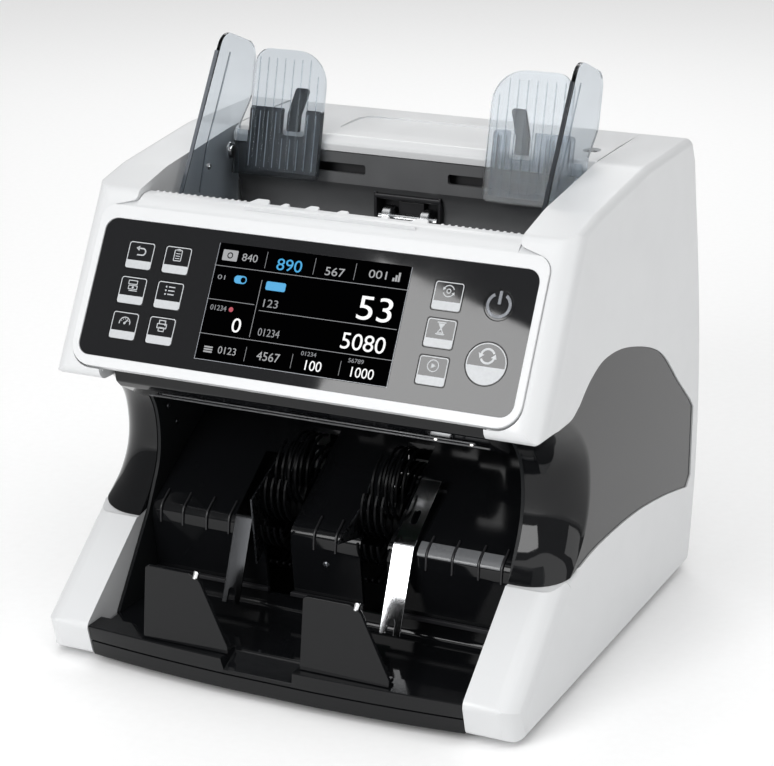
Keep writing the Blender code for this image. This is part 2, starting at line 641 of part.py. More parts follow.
def hopper_guide(side, sign):
    """A clear L-shaped guide: side wing and ribbed back wing, with its bracket and release lever."""
    inner, outer = sorted((sign * 50.0, sign * 95.0), key=abs)
    wing = rounded([(inner, 0.0, 4.0), (outer, 0.0), (outer, 70.5, 9.0), (inner, 70.5, 16.0)], 22.5)
    wing = wing if sign > 0 else wing[::-1]
    name = side + "_guide"
    back = plate(name, [wing], (-GUIDE_SHEET, 0.0), FLAT, SMOKE, parent=GUIDE_FRAME)
    rear_edge = [(164.5, 229.0), (168.0, 256.5), (170.6, 263.0), (193.0, 303.0, 9.0)]
    side_wing = rounded([(105.0, 240.0, 3.0), *rear_edge, (186.0, 313.5, 9.0), (153.0, 317.2, 12.0)], 22.5)
    wing_solid = section(name + "_side", side_wing, GUIDE_SHEET / 2, None, sign * GUIDE_SIDE_X)
    low, high = sorted((sign * 90.0, sign * (GUIDE_SIDE_X + GUIDE_SHEET / 2)))
    web = rectangle((low, 0.0), (high, 25.0))
    web_solid = plate(name + "_web", [web], (-GUIDE_SHEET, 0.0), FLAT, parent=GUIDE_FRAME)
    fuse(back, wing_solid, web_solid)

    left, right = sorted((sign * 52.0, sign * 89.0))
    gap_left, gap_right = sorted((sign * 61.6, sign * 76.0))
    notch = [(gap_right, 39.0), (gap_right, 24.0), (gap_left, 24.0), (gap_left, 39.0)]
    comb = [(left, 3.0), (right, 3.0), (right, 39.0), *notch, (left, 39.0)]
    depth = GUIDE_SHEET + GAP
    bracket = plate(side + "_guide_bracket", [comb], (-depth - 2.6, -depth), FLAT, DARK, parent=GUIDE_FRAME)
    low, high = sorted((sign * 64.0, sign * 76.0))
    runner = box(side + "_runner", (low, 163.0, SLOT_Z[0] + 0.5), (high, 176.0, SLOT_Z[1] - 0.5))
    key_low, key_high = sorted((sign * 60.0, sign * 80.0))
    keeper = box(side + "_keeper", (key_low, 172.0, SLOT_Z[0] - 3.0), (key_high, 176.0, SLOT_Z[1] + 2.0))
    fuse(bracket, runner, keeper)

    stem = [(65.0, 26.4), (73.0, 26.4), (73.0, 36.0), (69.0, 51.0), (60.6, 51.0), (65.0, 36.0)]
    lever = [(sign * x, y) for x, y in stem]
    pivot = (sign * 69.0, 26.4)
    at = (*pivot, -depth - 1.3)
    plate(side + "_guide_lever", [lever[::sign]], (-1.3, 1.3), FLAT, DARK, at, GUIDE_FRAME, pivot)


# ---------------------------------------------------------------- drive


def shaft(name, axis, rollers, pulleys, material, steps=16):
    """A shaft across the bay with rollers and pulleys (low x, high x, radius) turned with it."""
    end = FRAME_PLATE[1] - 0.2
    discs = sorted([*rollers, *pulleys], key=lambda disc: -disc[1])
    profile = [(0.0, end), (SHAFT_RADIUS, end)]
    for low, high, radius in discs:
        profile += [(SHAFT_RADIUS, high), (radius, high), (radius, low), (SHAFT_RADIUS, low)]
    profile += [(SHAFT_RADIUS, -end), (0.0, -end)]
    return turned(name, profile, (0.0, *axis), material, steps)


def belt(name, wheels, span):
    slack = GAP
    outer = around(wheels, slack + BELT)
    inner = around(wheels, slack)
    half = (span[1] - span[0]) / 2 - 0.3
    return section(name, [outer, inner], half, RUBBER, (span[0] + span[1]) / 2)


def stacker_wheel_outline():
    """Curved fingers round a hub: each sweeps back as it reaches out, and a slot between two takes a note."""
    hub = 14.0
    sweep = math.radians(58.0)
    steps = 4

    def centre_line(base, t):
        reach = hub + (WHEEL_RADIUS - hub) * math.sin(t * math.pi / 2)
        angle = base - sweep * t
        return Vector((reach * math.cos(angle), reach * math.sin(angle)))

    outline = []
    for finger in range(WHEEL_FINGERS):
        base = 2 * math.pi * finger / WHEEL_FINGERS
        sides = ([], [])
        for step in range(steps + 1):
            t = step / steps
            ahead = (centre_line(base, t + 0.01) - centre_line(base, t - 0.01)).normalized()
            normal = Vector((-ahead.y, ahead.x))
            thick = 1.5 - 0.6 * t
            for side, sign in zip(sides, (-1, 1)):
                side.append(tuple(centre_line(base, t) + sign * thick * normal))
        outline += [*sides[0], *reversed(sides[1])]
    return outline


def drive():
    """The three shafts with their rollers and wheels, the motor, its double pulley and the two belts."""
    pickup_rollers = [(x - 7.0, x + 7.0, PICKUP_RADIUS) for x in (-30.0, 30.0)]
    shaft("pickup_shaft", PICKUP_AXIS, pickup_rollers, [(*BELT_A_X, PICKUP_PULLEY)], ROLLER)
    feed_rollers = [(x - 7.0, x + 7.0, FEED_RADIUS) for x in (-50.0, -12.0, 12.0, 50.0)]
    shaft("feed_shaft", FEED_AXIS, feed_rollers, [(*BELT_A_X, FEED_PULLEY)], ROLLER)
    shaft("stacker_shaft", STACKER_AXIS, [], [(*BELT_B_X, STACKER_PULLEY)], STEEL, 12)
    bore = circle((0.0, 0.0), SHAFT_RADIUS + GAP, 12)
    wheel = [stacker_wheel_outline(), bore]
    for side, sign in (("left", -1), ("right", 1)):
        span = (-WHEEL_WIDTH / 2, WHEEL_WIDTH / 2)
        plate(side + "_stacker_wheel", wheel, span, ACROSS, DARK, (sign * WHEEL_X, *STACKER_AXIS))
    motor_y, motor_z = MOTOR_AXIS
    can = [(0, 24.0), (21.0, 24.0), (21.0, -24.0), (0, -24.0)]
    turned("drive_motor", can, (-64.0, motor_y, motor_z), CASE, 20)
    centre = (BELT_A_X[0] + BELT_B_X[1]) / 2
    (a_low, a_high), (b_low, b_high) = ([x - centre for x in span] for span in (BELT_A_X, BELT_B_X))
    rim, core = MOTOR_PULLEY, 5.0
    outer = [(0.0, 10.8), (core, 10.8), (core, b_high), (rim, b_high), (rim, b_low), (core, b_low)]
    pulley = [*outer, (core, a_high), (rim, a_high), (rim, a_low), (0.0, a_low)]
    turned("motor_pulley", pulley, (centre, motor_y, motor_z), CASE, 16)
    feed_wheels = [(MOTOR_AXIS, MOTOR_PULLEY), (FEED_AXIS, FEED_PULLEY), (PICKUP_AXIS, PICKUP_PULLEY)]
    belt("feed_belt", feed_wheels, BELT_A_X)
    belt("stacker_belt", [(MOTOR_AXIS, MOTOR_PULLEY), (STACKER_AXIS, STACKER_PULLEY)], BELT_B_X)


def electronics():
    """The boxes inside the casing: main board, power supply and the bar of the image sensor."""
    box("main_board", (-98.0, 250.0, 66.0), (98.0, 251.6, 190.0), BOARD)
    box("power_supply", (4.0, 176.0, 6.0), (96.0, 244.0, 50.0), CASE)
    box("image_sensor", (-96.0, 178.0, 152.0), (96.0, 192.0, 168.0), DARK)


# ---------------------------------------------------------------- connectors and feet


def connectors():
    """The panel in the back with the mains inlet, the rocker switch and the data ports."""
    panel = rectangle((-101.0, 14.0), (-9.0, 60.0), 2.0)
    inlet = rectangle((-96.0, 22.0), (-68.6, 42.4), 2.0)
    switch = rectangle((-60.0, 22.6), (-46.0, 42.0), 0.6)
    side_ports = [rectangle((-38.0, low), (-24.6, low + 5.6)) for low in (23.0, 34.0)]
    tall_port = rectangle((-20.0, 24.0), (-12.6, 40.0))
    outlines = [panel, inlet, switch, *side_ports, tall_port]
    plate("connector_panel", outlines, (0.0, 2.5), UPRIGHT, DARK, (0.0, 275.2, 0.0))

    shell = rectangle((-95.7, 22.3), (-68.9, 42.1), 2.0)
    socket = plate("power_inlet", [shell], (0.0, 19.0), UPRIGHT, DARK, (0.0, 274.8, 0.0))
    mouth = [(-93.6, 25.0), (-71.0, 25.0), (-71.0, 34.6), (-75.0, 39.2), (-89.6, 39.2), (-93.6, 34.6)]
    cut(socket, plate("inlet_mouth", [mouth], (-2.0, 15.0), UPRIGHT, None, (0.0, 274.8, 0.0)))

    half, height, rise = 6.6, 8.9, math.radians(9.0)
    front = [(1.6, -height), (0.4, 0.0), (1.6, height)]
    rocker = [(-1.0, -height), *front, (-1.0, height), (-8.0, 3.0), (-8.0, -3.0)]
    tilted = []
    for y, z in rocker:
        tilted.append((y * math.cos(rise) - z * math.sin(rise), y * math.sin(rise) + z * math.cos(rise)))
    plate("power_switch", [tilted], (-half, half), ACROSS, DARK, (-53.0, 273.4, 32.3))


def feet():
    profile = [(0.0, -GAP), (9.0, -GAP), (9.0, -2.6), (8.0, -FOOT_HEIGHT), (0.0, -FOOT_HEIGHT)]
    for end, y in (("front", 34.0), ("rear", 244.0)):
        for side, x in (("left", -120.0), ("right", 120.0)):
            turned("foot_%s_%s" % (end, side), profile, (x, y, 0.0), RUBBER, 16, FLAT)


casing()
control_head()
front_lip()
frame_plates()
pocket()
hopper()
lid()
hopper_guide("left", -1)
hopper_guide("right", 1)
drive()
electronics()
connectors()
feet()
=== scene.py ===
"""How the banknote counting machine looks: detailed pieces that ride on its CAD bodies, light and camera.

Lengths are millimetres in the machine's own frame, as in part.py: X to the user's right, Y from the toe
line to the back, Z up from the underside of the covers. The helpers turn them to metres in the row frame.
"""

import math

import bmesh
import bpy
from mathutils import Matrix, Vector


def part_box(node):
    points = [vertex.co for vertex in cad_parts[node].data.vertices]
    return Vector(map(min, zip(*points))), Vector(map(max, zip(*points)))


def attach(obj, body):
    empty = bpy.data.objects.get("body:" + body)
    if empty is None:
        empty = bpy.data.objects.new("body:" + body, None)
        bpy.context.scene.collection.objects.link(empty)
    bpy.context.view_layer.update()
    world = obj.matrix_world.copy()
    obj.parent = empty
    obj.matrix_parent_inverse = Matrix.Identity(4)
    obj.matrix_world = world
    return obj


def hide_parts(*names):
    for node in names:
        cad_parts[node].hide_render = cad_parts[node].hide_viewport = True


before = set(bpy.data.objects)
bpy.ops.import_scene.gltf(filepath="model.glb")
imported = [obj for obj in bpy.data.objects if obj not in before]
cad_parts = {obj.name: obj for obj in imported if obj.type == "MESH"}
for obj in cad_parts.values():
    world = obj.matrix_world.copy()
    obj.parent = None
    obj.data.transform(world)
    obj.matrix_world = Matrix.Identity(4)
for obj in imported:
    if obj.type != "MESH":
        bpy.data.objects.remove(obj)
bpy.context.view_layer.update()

MM = 0.001

# The machine's frame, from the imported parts: the feet lift it, and the back of the covers is BACK_Y.
BACK_Y = 277.95
FOOT_HEIGHT = 4
SHIFT_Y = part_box("left_side_cover")[1].y / MM - BACK_Y

SIDE_INNER_X = 110.3
SIDE_OUTER_X = 140
BAY_HALF = 107.8
COVER_GAP = BAY_HALF + 2
CLEARANCE = 0.25

# The control head, as in part.py.
HEAD_TILT = 29
HEAD_CENTRE = (41.8, 197.6)
GLASS = (249, 75)
GLASS_THICK = 2.7
BEZEL_HALF = 128.7
SCREEN = (111, 62.8)
SCREEN_CENTRE_X = 0.6
KEY = (16.5, 15.5)
KEY_DEPTH = 5.4
KEY_COLUMNS = (-100.2, -77.8)
KEY_COLUMN_RIGHT = 78
KEY_ROWS = (18.8, -0.4, -19.6)
RESTART_AT = (105.5, -12.3)
RESTART_RADIUS = 11.2
POWER_AT = (105.9, 17.6)
POWER_RADIUS = 8

PICKUP_AXIS = (116.4, 206.5)
FEED_AXIS = (155, 194)
STACKER_AXIS = (98, 70)
PINCH_AXIS = (172.6, 216.5)
MOTOR_AXIS = (200, 120)
SHAFT_END = 109.8
SHAFT_RADIUS = 4
PICKUP_ROLLERS = (-30, 30)
FEED_ROLLERS = (-50, -12, 12, 50)
FEED_BELT = (-106, -101.4)
STACKER_BELT = (-99, -94.4)
WHEEL_X = 29
WHEEL_RADIUS = 38.5
GUIDE_LEAN = 13
GUIDE_FOOT = (157.5, 236)
GUIDE_SIDE_X = 105
GUIDE_SHEET = 2.4
LID_HINGE = (243.4, 257.6)
LID_FRONT_Y = 168.8
SLOT_Z = (240, 245.6)
SCREW_AT = (98, 195)

# The back's socket panel: its front face, and the mains switch's axis.
SOCKET_Y = 275.2
SWITCH_AT = (-53, 273.4, 32.3)
SCREEN_PRINT = (-0.04, 0.02)


def turn_matrix(turn):
    x, y, z = (math.radians(angle) for angle in turn)
    return Matrix.Rotation(z, 4, "Z") @ Matrix.Rotation(y, 4, "Y") @ Matrix.Rotation(x, 4, "X")


def frame_at(at, turn=(0, 0, 0), base=None):
    """A frame to place pieces in: at a point in millimetres, turned by degrees about X, Y and Z in turn."""
    base = MACHINE if base is None else base
    return base @ Matrix.Translation(Vector(at) * MM) @ turn_matrix(turn)


MACHINE = Matrix.Translation(Vector((0, SHIFT_Y, FOOT_HEIGHT)) * MM)
HEAD = frame_at((0, *HEAD_CENTRE), (90 - HEAD_TILT, 0, 0))
GUIDES = frame_at((0, *GUIDE_FOOT), (90 - GUIDE_LEAN, 0, 0))
ACROSS = (90, 0, 90)
UPRIGHT = (90, 0, 0)
FLAT = (0, 0, 0)


# ---------------------------------------------------------------- materials


class Nodes:
    """Short calls for building one material's nodes."""

    def __init__(self, name):
        self.material = bpy.data.materials.new(name)
        self.material.use_nodes = True
        self.tree = self.material.node_tree
        self.shader = self.tree.nodes["Principled BSDF"]
        self.place = self.tree.nodes.new("ShaderNodeTexCoord").outputs["Object"]

    def node(self, kind, inputs=None, **settings):
        made = self.tree.nodes.new(kind)
        for key, value in settings.items():
            setattr(made, key, value)
        for key, value in (inputs or {}).items():
            if isinstance(value, bpy.types.NodeSocket):
                self.tree.links.new(value, made.inputs[key])
            else:
                made.inputs[key].default_value = value
        return made

    def noise(self, scale, detail=3, stretch=(1, 1, 1), roughness=0.5):
        mapped = self.node("ShaderNodeMapping", {"Vector": self.place, "Scale": stretch})
        inputs = {"Vector": mapped.outputs["Vector"], "Scale": scale}
        inputs |= {"Detail": detail, "Roughness": roughness}
        return self.node("ShaderNodeTexNoise", inputs).outputs["Fac"]

    def spread(self, value, low, high, start=0.3, end=0.7):
        inputs = {"Value": value, "From Min": start, "From Max": end, "To Min": low, "To Max": high}
        return self.node("ShaderNodeMapRange", inputs).outputs["Result"]

    def between(self, factor, first, second):
        mix = self.node("ShaderNodeMix", {"Factor": factor}, data_type="RGBA")
        mix.inputs["A"].default_value = (*first, 1)
        mix.inputs["B"].default_value = (*second, 1)
        return mix.outputs["Result"]

    def bump(self, height, strength, distance=0.0002):
        inputs = {"Height": height, "Strength": strength, "Distance": distance}
        return self.node("ShaderNodeBump", inputs).outputs["Normal"]

    def set(self, **values):
        for key, value in values.items():
            socket = self.shader.inputs[key.replace("_", " ")]
            if isinstance(value, bpy.types.NodeSocket):
                self.tree.links.new(value, socket)
            elif isinstance(value, tuple) and len(value) == 3 and socket.type == "RGBA":
                socket.default_value = (*value, 1)
            else:
                socket.default_value = value
        return self


def moulded(name, colour, roughness, grain=900, strength=0.12, shift=0.03, **extra):
    """Moulded plastic: a fine spark-eroded grain, slight flow in the gloss and a trace of colour change."""
    nodes = Nodes(name)
    slow = nodes.noise(14, 4)
    low = tuple(max(0, part * (1 - shift)) for part in colour)
    high = tuple(min(1, part * (1 + shift)) for part in colour)
    nodes.set(
        Base_Color=nodes.between(nodes.spread(slow, 0, 1), low, high),
        Roughness=nodes.spread(nodes.noise(55, 5), roughness * 0.85, roughness * 1.2),
        Normal=nodes.bump(nodes.noise(grain, 2), strength, 0.00006),
    )
    return nodes.set(**extra).material


def polished(name, colour, roughness, **extra):
    """Polished plastic or glass: faint wipe marks show in its gloss."""
    nodes = Nodes(name)
    wipes = nodes.noise(24, 6, (1, 2.6, 1), 0.6)
    specks = nodes.noise(640, 2)
    nodes.set(
        Base_Color=nodes.between(nodes.spread(specks, 0, 1), colour, tuple(part * 1.12 for part in colour)),
        Roughness=nodes.spread(wipes, roughness * 0.6, roughness * 1.9, 0.35, 0.75),
        Normal=nodes.bump(nodes.noise(9, 2), 0.02, 0.0004),
    )
    return nodes.set(**extra).material


def metal(name, colour, roughness, stretch=(1, 1, 1), strength=0.06):
    """Bare metal with drawing or turning marks along its unstretched axes."""
    nodes = Nodes(name)
    marks = nodes.noise(420, 4, stretch)
    nodes.set(
        Base_Color=nodes.between(nodes.spread(marks, 0, 1), tuple(part * 0.9 for part in colour), colour),
        Roughness=nodes.spread(marks, roughness * 0.7, roughness * 1.5),
        Normal=nodes.bump(marks, strength, 0.00005),
        Metallic=1,
    )
    return nodes.material


def rubber_like(name, colour, roughness=0.75):
    nodes = Nodes(name)
    grain = nodes.noise(1500, 3)
    dust = nodes.spread(nodes.noise(60, 5), 0, 1, 0.45, 0.8)
    nodes.set(
        Base_Color=nodes.between(dust, colour, tuple(part * 2.2 + 0.01 for part in colour)),
        Roughness=nodes.spread(grain, roughness * 0.85, min(1, roughness * 1.15)),
        Normal=nodes.bump(grain, 0.35, 0.00008),
    )
    return nodes.material


def clear_plastic(name, tint):
    nodes = Nodes(name)
    wipes = nodes.noise(30, 5, (1, 1, 3))
    nodes.set(
        Base_Color=nodes.between(nodes.spread(wipes, 0, 1), tint, tuple(part * 0.97 for part in tint)),
        Roughness=nodes.spread(wipes, 0.02, 0.07),
        Normal=nodes.bump(nodes.noise(16, 2), 0.03, 0.0005),
        Transmission_Weight=1,
        IOR=1.22,
    )
    return nodes.material


def circuit(name):
    """Green lacquer over copper tracks."""
    nodes = Nodes(name)
    tracks = nodes.node(
        "ShaderNodeTexBrick",
        {"Vector": nodes.place, "Scale": 190, "Mortar Size": 0.06, "Color1": (0.012, 0.11, 0.045, 1),
         "Color2": (0.016, 0.14, 0.06, 1), "Mortar": (0.05, 0.26, 0.12, 1)},
    )
    nodes.set(
        Base_Color=tracks.outputs["Color"],
        Roughness=nodes.spread(nodes.noise(200), 0.3, 0.5),
        Normal=nodes.bump(tracks.outputs["Fac"], 0.3, 0.0001),
    )
    return nodes.material


def lit(name, colour, strength):
    """Lit pixels of the display: an even glow with the display's fine dot grid in it."""
    nodes = Nodes(name)
    dots = nodes.noise(2600, 1)
    nodes.set(
        Base_Color=(0.01, 0.01, 0.01),
        Emission_Color=nodes.between(nodes.spread(dots, 0, 1), colour, tuple(part * 0.94 for part in colour)),
        Emission_Strength=strength,
        Roughness=nodes.spread(dots, 0.4, 0.5),
    )
    return nodes.material


def printed(name, colour, roughness=0.35):
    """Screen print behind the glass: very slightly uneven ink."""
    nodes = Nodes(name)
    ink = nodes.noise(700, 4)
    nodes.set(
        Base_Color=nodes.between(nodes.spread(ink, 0, 1), colour, tuple(part * 0.92 for part in colour)),
        Roughness=nodes.spread(ink, roughness * 0.9, roughness * 1.1),
    )
    return nodes.material


WHITE = moulded("white_shell", (0.655, 0.664, 0.672), 0.34, 700, 0.05, 0.008)
GLOSS = polished("piano_black", (0.0045, 0.0048, 0.0055), 0.06, Specular_IOR_Level=0.31)
SATIN = moulded("satin_black", (0.014, 0.014, 0.016), 0.42, 800, 0.2, 0.2)
FRAME_BLACK = moulded("frame_coat", (0.008, 0.009, 0.010), 0.45, 500, 0.12, 0.2, Specular_IOR_Level=0.2)
GREY = moulded("hopper_grey", (0.045, 0.046, 0.050), 0.40, 600, 0.25, 0.12)
PANEL = polished("panel_glass", (0.0065, 0.0068, 0.0078), 0.035)
SCREEN_BLACK = polished("screen_black", (0.0004, 0.0004, 0.0005), 0.4, Specular_IOR_Level=0)
# A light grey for lines along the display's edges: a painted highlight.
SCREEN_EDGE_HIGHLIGHT = polished("screen_edge_painted_highlight", (0.22, 0.23, 0.25), 0.2)
INK = printed("key_ink", (0.50, 0.515, 0.53))
LINE_INK = printed("key_line_ink", (0.50, 0.515, 0.53))
ICON_INK = printed("icon_ink", (0.45, 0.465, 0.48))
GLOW = lit("glow_white", (1, 1, 1), 1)
GLOW_GREY = lit("glow_grey", (0.42, 0.43, 0.45), 0.5)
GLOW_DIM = lit("glow_dim", (0.75, 0.76, 0.78), 0.45)
GLOW_BLUE = lit("glow_blue", (0.04, 0.42, 0.80), 0.9)
GLOW_RED = lit("glow_red", (0.75, 0.05, 0.10), 0.6)
SMOKE = clear_plastic("smoke_clear", (0.70, 0.745, 0.785))
# Opaque colours for the clear wings' front edges: painted shade standing for how a clear sheet's edge looks.
WING_EDGE_GREY_SHADE = polished("wing_edge_painted_grey_shade", (0.11, 0.12, 0.135), 0.2)
WING_EDGE_DARK_SHADE = polished("wing_edge_painted_dark_shade", (0.022, 0.025, 0.03), 0.2)
BRACKET = moulded("bracket_grey", (0.022, 0.025, 0.029), 0.3, 700, 0.15, 0.1)
BRIGHT = metal("bright_steel", (0.80, 0.81, 0.82), 0.14, (8, 1, 1))
STRIP = metal("strip_steel", (0.78, 0.79, 0.81), 0.10, (14, 1, 1), 0.03)
# A darkened copy of the strip steel: painted shade, used for the left strip.
STRIP_SHADED = metal("strip_steel_painted_shade", (0.034, 0.035, 0.037), 0.16, (14, 1, 1), 0.03)
CHROME = metal("chrome", (0.86, 0.87, 0.88), 0.06, (1, 1, 1), 0.01)
DARK_CHROME = metal("dark_chrome", (0.12, 0.125, 0.135), 0.28)
ROLLER_STEEL = metal("roller_steel", (0.5, 0.51, 0.52), 0.2, (8, 1, 1), 0.03)
CASE = metal("case_steel", (0.50, 0.51, 0.52), 0.35, (1, 6, 1))
RUBBER = rubber_like("black_rubber", (0.018, 0.018, 0.019))
ROLLER = rubber_like("roller_rubber", (0.035, 0.035, 0.038), 0.62)
BOARD = circuit("board")
PADDLE = polished("paddle_black", (0.006, 0.0063, 0.007), 0.08, Specular_IOR_Level=0.27)
LIP_BLACK = polished("lip_black", (0.0045, 0.0048, 0.0055), 0.08, Specular_IOR_Level=0.28)
WHEEL_BLACK = polished("wheel_black", (0.003, 0.0032, 0.0036), 0.3, Specular_IOR_Level=0.08)
# A light grey for strips along the black ledge: a painted reflection of a softbox.
LEDGE_REFLECTION = polished("ledge_painted_reflection", (0.13, 0.134, 0.14), 0.2)
SLOT_LINE = polished("slot_line", (0.07, 0.072, 0.076), 0.25)
PLATE_GREY = moulded("plate_grey", (0.088, 0.090, 0.093), 0.42, 600, 0.25, 0.22)
COMB_CLEAR = clear_plastic("comb_clear", (0.52, 0.56, 0.60))
# Light grey lines for the left comb's ribs: a painted highlight.
COMB_LINE_HIGHLIGHT = moulded("comb_line", (0.50, 0.52, 0.55), 0.3, 700, 0.1, 0.1)
LAMP = lit("lamp_white", (1, 0.98, 0.95), 3)
GLOW_LABEL = lit("glow_label", (0.36, 0.37, 0.39), 0.7)
CHIP = moulded("chip_epoxy", (0.016, 0.016, 0.018), 0.5, 900, 0.3, 0.1)
BRASS = metal("contact_brass", (0.78, 0.58, 0.28), 0.25)
WHITE_PRINT = printed("white_print", (0.75, 0.75, 0.74))


# ---------------------------------------------------------------- outlines


def smooth(points, steps=8):
    """A smooth open line through the points (Catmull-Rom)."""
    ends = [points[0], *points, points[-1]]
    line = []
    for before, start, end, after in zip(ends, ends[1:], ends[2:], ends[3:]):
        for step in range(steps):
            t = step / steps
            weights = (
                (-t + 2 * t**2 - t**3) / 2,
                (2 - 5 * t**2 + 3 * t**3) / 2,
                (t + 4 * t**2 - 3 * t**3) / 2,
                (-(t**2) + t**3) / 2,
            )
            knots = (before, start, end, after)
            line.append(tuple(sum(w * knot[axis] for w, knot in zip(weights, knots)) for axis in (0, 1)))
    return [*line, points[-1]]


def arc(centre, radius, start, end, step=12):
    """Points round a circle from one angle to another, in degrees."""
    count = max(2, round(abs(end - start) / step))
    turns = [math.radians(start + (end - start) * n / count) for n in range(count + 1)]
    return [(centre[0] + radius * math.cos(t), centre[1] + radius * math.sin(t)) for t in turns]


def rounded(corners, step=12):
    """A closed outline whose corners (u, v, radius) are rounded."""
    outline = []
    for index, corner in enumerate(corners):
        here = Vector(corner[:2])
        radius = corner[2] if len(corner) > 2 else 0
        if not radius:
            outline.append(tuple(here))
            continue
        back = (Vector(corners[index - 1][:2]) - here).normalized()
        ahead = (Vector(corners[(index + 1) % len(corners)][:2]) - here).normalized()
        half = back.angle(ahead) / 2
        centre = here + (back + ahead).normalized() * (radius / math.sin(half))
        start = here + back * (radius / math.tan(half)) - centre
        turn = math.pi - 2 * half
        count = max(1, round(math.degrees(turn) / step))
        sign = 1 if back.x * ahead.y - back.y * ahead.x < 0 else -1
        for number in range(count + 1):
            angle = sign * turn * number / count
            spun = Matrix.Rotation(angle, 2) @ start
            outline.append(tuple(centre + spun))
    return outline


def rectangle(low, high, radius=0, step=12):
    (u0, v0), (u1, v1) = low, high
    return rounded([(u0, v0, radius), (u1, v0, radius), (u1, v1, radius), (u0, v1, radius)], step)


def centred(size, centre=(0, 0), radius=0, grow=0):
    half = (size[0] / 2 + grow, size[1] / 2 + grow)
    low = (centre[0] - half[0], centre[1] - half[1])
    high = (centre[0] + half[0], centre[1] + half[1])
    return rectangle(low, high, radius)


def circle(centre, radius, sides=48):
    return arc(centre, radius, 0, 360, 360 / sides)[:-1]


def annulus(radius, inner, sides=48, centre=(0, 0)):
    """A round outline with its round hole."""
    return [circle(centre, radius, sides), circle(centre, inner, sides)]


def flipped(corners, sign):
    """A rounded outline, drawn for the right side and mirrored for the left."""
    return rounded([(sign * corner[0], *corner[1:]) for corner in corners][::sign])


def mirrored(sign, near, far):
    """The low and high x of a span on one side of the machine."""
    return sorted((sign * near, sign * far))


def band(line, thick):
    """The closed outline of a bent sheet: the open line is one side, and the other is to its right."""
    other = []
    for index, point in enumerate(line):
        here = Vector(point)
        normals = []
        for near in (index - 1, index):
            if 0 <= near < len(line) - 1:
                along = (Vector(line[near + 1]) - Vector(line[near])).normalized()
                normals.append(Vector((along.y, -along.x)))
        mean = sum(normals, Vector((0, 0))).normalized()
        other.append(tuple(here + mean * (thick / mean.dot(normals[0]))))
    return [*line, *reversed(other)]


def stroke(line, width):
    """A line of some width, as a closed outline: the line runs down its middle."""
    left = band(line, -width / 2)[len(line):]
    right = band(line, width / 2)[len(line):]
    return [*left, *reversed(right)]


# ---------------------------------------------------------------- solids


def add(name, mesh, matrix):
    piece = bpy.data.objects.new(name, mesh)
    bpy.context.scene.collection.objects.link(piece)
    piece.matrix_world = matrix
    return piece


def plate(name, outlines, span, turn=FLAT, at=(0, 0, 0), base=None):
    """A flat outline, with any holes, as thick as `span` along its own normal."""
    outlines = outlines if isinstance(outlines[0], list) else [outlines]
    curve = bpy.data.curves.new(name, "CURVE")
    curve.dimensions = "2D"
    curve.fill_mode = "BOTH"
    curve.extrude = (span[1] - span[0]) / 2 * MM
    for outline in outlines:
        spline = curve.splines.new("POLY")
        spline.points.add(len(outline) - 1)
        spline.use_cyclic_u = True
        for point, (u, v) in zip(spline.points, outline):
            point.co = (u * MM, v * MM, 0, 1)
    drawn = bpy.data.objects.new(name + "_line", curve)
    bpy.context.scene.collection.objects.link(drawn)
    mesh = bpy.data.meshes.new_from_object(drawn.evaluated_get(bpy.context.evaluated_depsgraph_get()))
    bpy.data.objects.remove(drawn)
    work = bmesh.new()
    work.from_mesh(mesh)
    bmesh.ops.translate(work, verts=work.verts, vec=(0, 0, (span[0] + span[1]) / 2 * MM))
    bmesh.ops.remove_doubles(work, verts=work.verts, dist=1e-6)
    bmesh.ops.dissolve_limit(work, angle_limit=0.001, verts=work.verts, edges=work.edges)
    bmesh.ops.recalc_face_normals(work, faces=work.faces)
    work.to_mesh(mesh)
    work.free()
    mesh.materials.clear()
    return add(name, mesh, frame_at(at, turn, base))


def section(name, outlines, low_x, high_x):
    """A (y, z) section extruded along X."""
    return plate(name, outlines, (low_x, high_x), ACROSS)


def box(name, low, high, base=None):
    mesh = bpy.data.meshes.new(name)
    work = bmesh.new()
    bmesh.ops.create_cube(work, size=MM)
    bmesh.ops.scale(work, vec=[b - a for a, b in zip(low, high)], verts=work.verts)
    work.to_mesh(mesh)
    work.free()
    return add(name, mesh, frame_at([(a + b) / 2 for a, b in zip(low, high)], FLAT, base))


def turned(name, profile, at, turn=(0, 90, 0), steps=48, base=None):
    """A turned piece: its profile (radius, height) runs from top to bottom, along X unless turned."""
    mesh = bpy.data.meshes.new(name)
    work = bmesh.new()
    rings = []
    for radius, height in profile:
        if radius == 0:
            rings.append([work.verts.new((0, 0, height * MM))])
            continue
        ring = [
            work.verts.new((radius * MM * math.cos(t), radius * MM * math.sin(t), height * MM))
            for t in (2 * math.pi * n / steps for n in range(steps))
        ]
        rings.append(ring)
    for upper, lower in zip(rings, rings[1:]):
        for n in range(steps):
            m = (n + 1) % steps
            corners = ((upper, n), (lower, n), (lower, m), (upper, m))
            face = list(dict.fromkeys(line[number % len(line)] for line, number in corners))
            if len(face) > 2:
                work.faces.new(face)
    bmesh.ops.recalc_face_normals(work, faces=work.faces)
    work.to_mesh(mesh)
    work.free()
    return add(name, mesh, frame_at(at, turn, base))


def bevel(piece, width, segments=3, angle=35):
    modifier = piece.modifiers.new("bevel", "BEVEL")
    modifier.width = width * MM
    modifier.segments = segments
    modifier.limit_method = "ANGLE"
    modifier.angle_limit = math.radians(angle)
    return piece


def settle(piece):
    """Applies a piece's modifiers to its mesh."""
    if piece.modifiers:
        bpy.context.view_layer.update()
        mesh = bpy.data.meshes.new_from_object(piece.evaluated_get(bpy.context.evaluated_depsgraph_get()))
        piece.modifiers.clear()
        piece.data = mesh
    return piece


